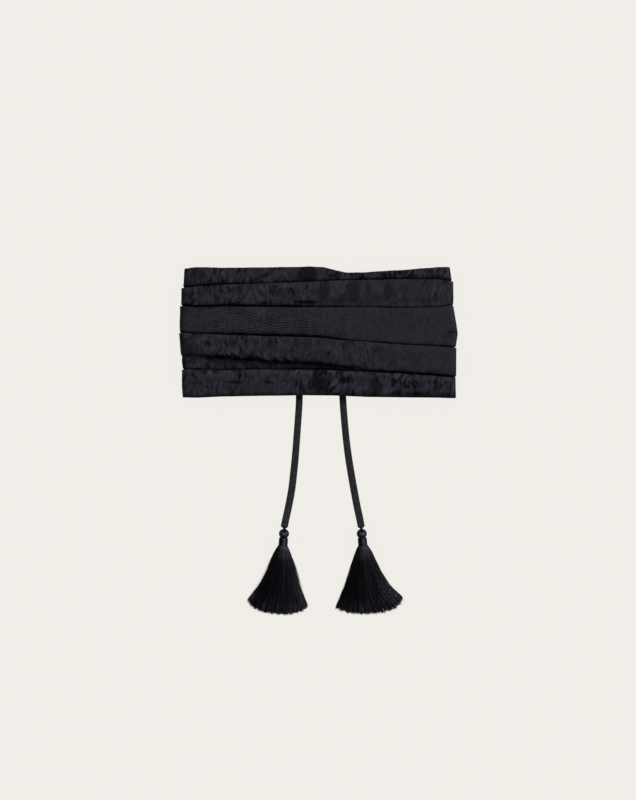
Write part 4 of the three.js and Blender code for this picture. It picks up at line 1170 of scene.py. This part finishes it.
# Viscose thread, spun smooth: dark, with a lustre along every strand
def viscoseThread(name, spec):
    material, tree, shader = newMaterial(name)
    tint = addNode(tree, "ShaderNodeAttribute", dict(attribute_name="tint"), output="Fac")
    place = addNode(tree, "ShaderNodeAttribute", dict(attribute_name="threadPlace"), output="Fac")
    uneven = addNode(tree, "ShaderNodeTexNoise", dict(noise_dimensions="1D"),
                     {"W": place, "Scale": spec["fineness"], "Detail": 1.0})
    value = addNode(tree, "ShaderNodeMath", timesPlus,
                    {0: uneven, 1: dyeUneven["times"], 2: dyeUneven["plus"]})
    # the tint attribute carries painted light and shade, and on the skirt's strands also their uneven dye
    value = addNode(tree, "ShaderNodeMath", times, {0: value, 1: tint})
    colour = addNode(tree, "ShaderNodeVectorMath", dict(operation="SCALE"),
                     {0: linearColour(spec["colour"])[:3], "Scale": value})
    setInputs(tree, shader, {"Base Color": colour, "Roughness": spec["roughness"],
                             "Specular IOR Level": spec["gloss"],
                             "Specular Tint": linearColour(spec["shine"])})
    return material


pleatedBand.data.materials.append(moireCloth(clothSpec))
ribbon = grosgrain(ribbonSpec)
skirtThread = viscoseThread("blackViscoseThread", skirtThreadSpec)
windingThread = viscoseThread("blackWindingThread", windingSpec)
cordThread = viscoseThread("blackLoopCord", loopCordSpec)
for side in sides:
    ties[side][0].data.materials.append(ribbon)
    tassels[side].data.materials.append(skirtThread)
    bindings[side].data.materials.append(windingThread)
    loops[side].data.materials.append(cordThread)
print("materials done")


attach(pleatedBand, "root")
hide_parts("pleated_band")
for side in sides:
    tie, route, length = ties[side]
    kinds = ((tie, "tie", "ribbon"), (tassels[side], "tassel", "tassel_thread"),
             (bindings[side], "tassel_binding", "binding_thread"), (loops[side], "tassel_loop", "loop_cord"))
    for piece, node, slot in kinds:
        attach(piece, "root")
        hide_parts(f"{side}_{node}")


floorSpec = dict(size=12.0, colour="#f1eee9", ownLight=0.956, share=0.14)  # metres
keySpec = dict(strength=3.2, angle=20, turn=32, height=33)
skySpec = dict(zenith=0.3, horizon=0.7, riseFrom=0.15, riseTo=0.6)


# A pale matt sheet that is lit from within, so that it stays as pale as the photograph's white
def addFloor(spec):
    half = spec["size"] / 2
    mesh = bpy.data.meshes.new("paleFloor")
    corners = [(-half, -half, 0), (half, -half, 0), (half, half, 0), (-half, half, 0)]
    mesh.from_pydata(corners, [], [(0, 1, 2, 3)])
    floor = bpy.data.objects.new("paleFloor", mesh)
    bpy.context.scene.collection.objects.link(floor)
    material, tree, shader = newMaterial("paleMattPaper")
    colour = linearColour(spec["colour"])
    lessened = tuple(c * spec["share"] for c in colour[:3]) + (1,)
    setInputs(tree, shader, {"Base Color": lessened, "Roughness": 1.0, "Specular IOR Level": 0.0,
                             "Emission Color": colour, "Emission Strength": spec["ownLight"]})
    mesh.materials.append(material)


# A soft sun, so many degrees high, that shines on the sash alone
def addSun(name, spec):
    light = bpy.data.lights.new(name, "SUN")
    light.energy = spec["strength"]
    light.angle = math.radians(spec["angle"])
    sun = bpy.data.objects.new(name, light)
    sun.rotation_euler = (0, math.radians(90 - spec["height"]), math.radians(spec["turn"]))
    bpy.context.scene.collection.objects.link(sun)
    sashOnly = bpy.data.collections.new("sashOnly")
    for piece in pieces:
        sashOnly.objects.link(piece)
    sun.light_linking.receiver_collection = sashOnly


# The sky is brighter low down than overhead
def addSky(spec):
    world = bpy.data.worlds.new("studio")
    bpy.context.scene.world = world
    world.use_nodes = True
    tree = world.node_tree
    sky = next(n for n in tree.nodes if n.type == "BACKGROUND")
    toward = addNode(tree, "ShaderNodeTexCoord", output="Generated")
    height = addNode(tree, "ShaderNodeSeparateXYZ", inputs={0: toward}, output="Z")
    strength = addNode(tree, "ShaderNodeMapRange", dict(interpolation_type="SMOOTHSTEP"),
                       {"Value": height, "From Min": spec["riseFrom"], "From Max": spec["riseTo"],
                        "To Min": spec["horizon"], "To Max": spec["zenith"]})
    setInputs(tree, sky, {"Color": linearColour(floorSpec["colour"]), "Strength": strength})


addFloor(floorSpec)
addSun("keyLight", keySpec)
addSky(skySpec)
bpy.context.scene.view_settings.view_transform = "Standard"
print("light done")
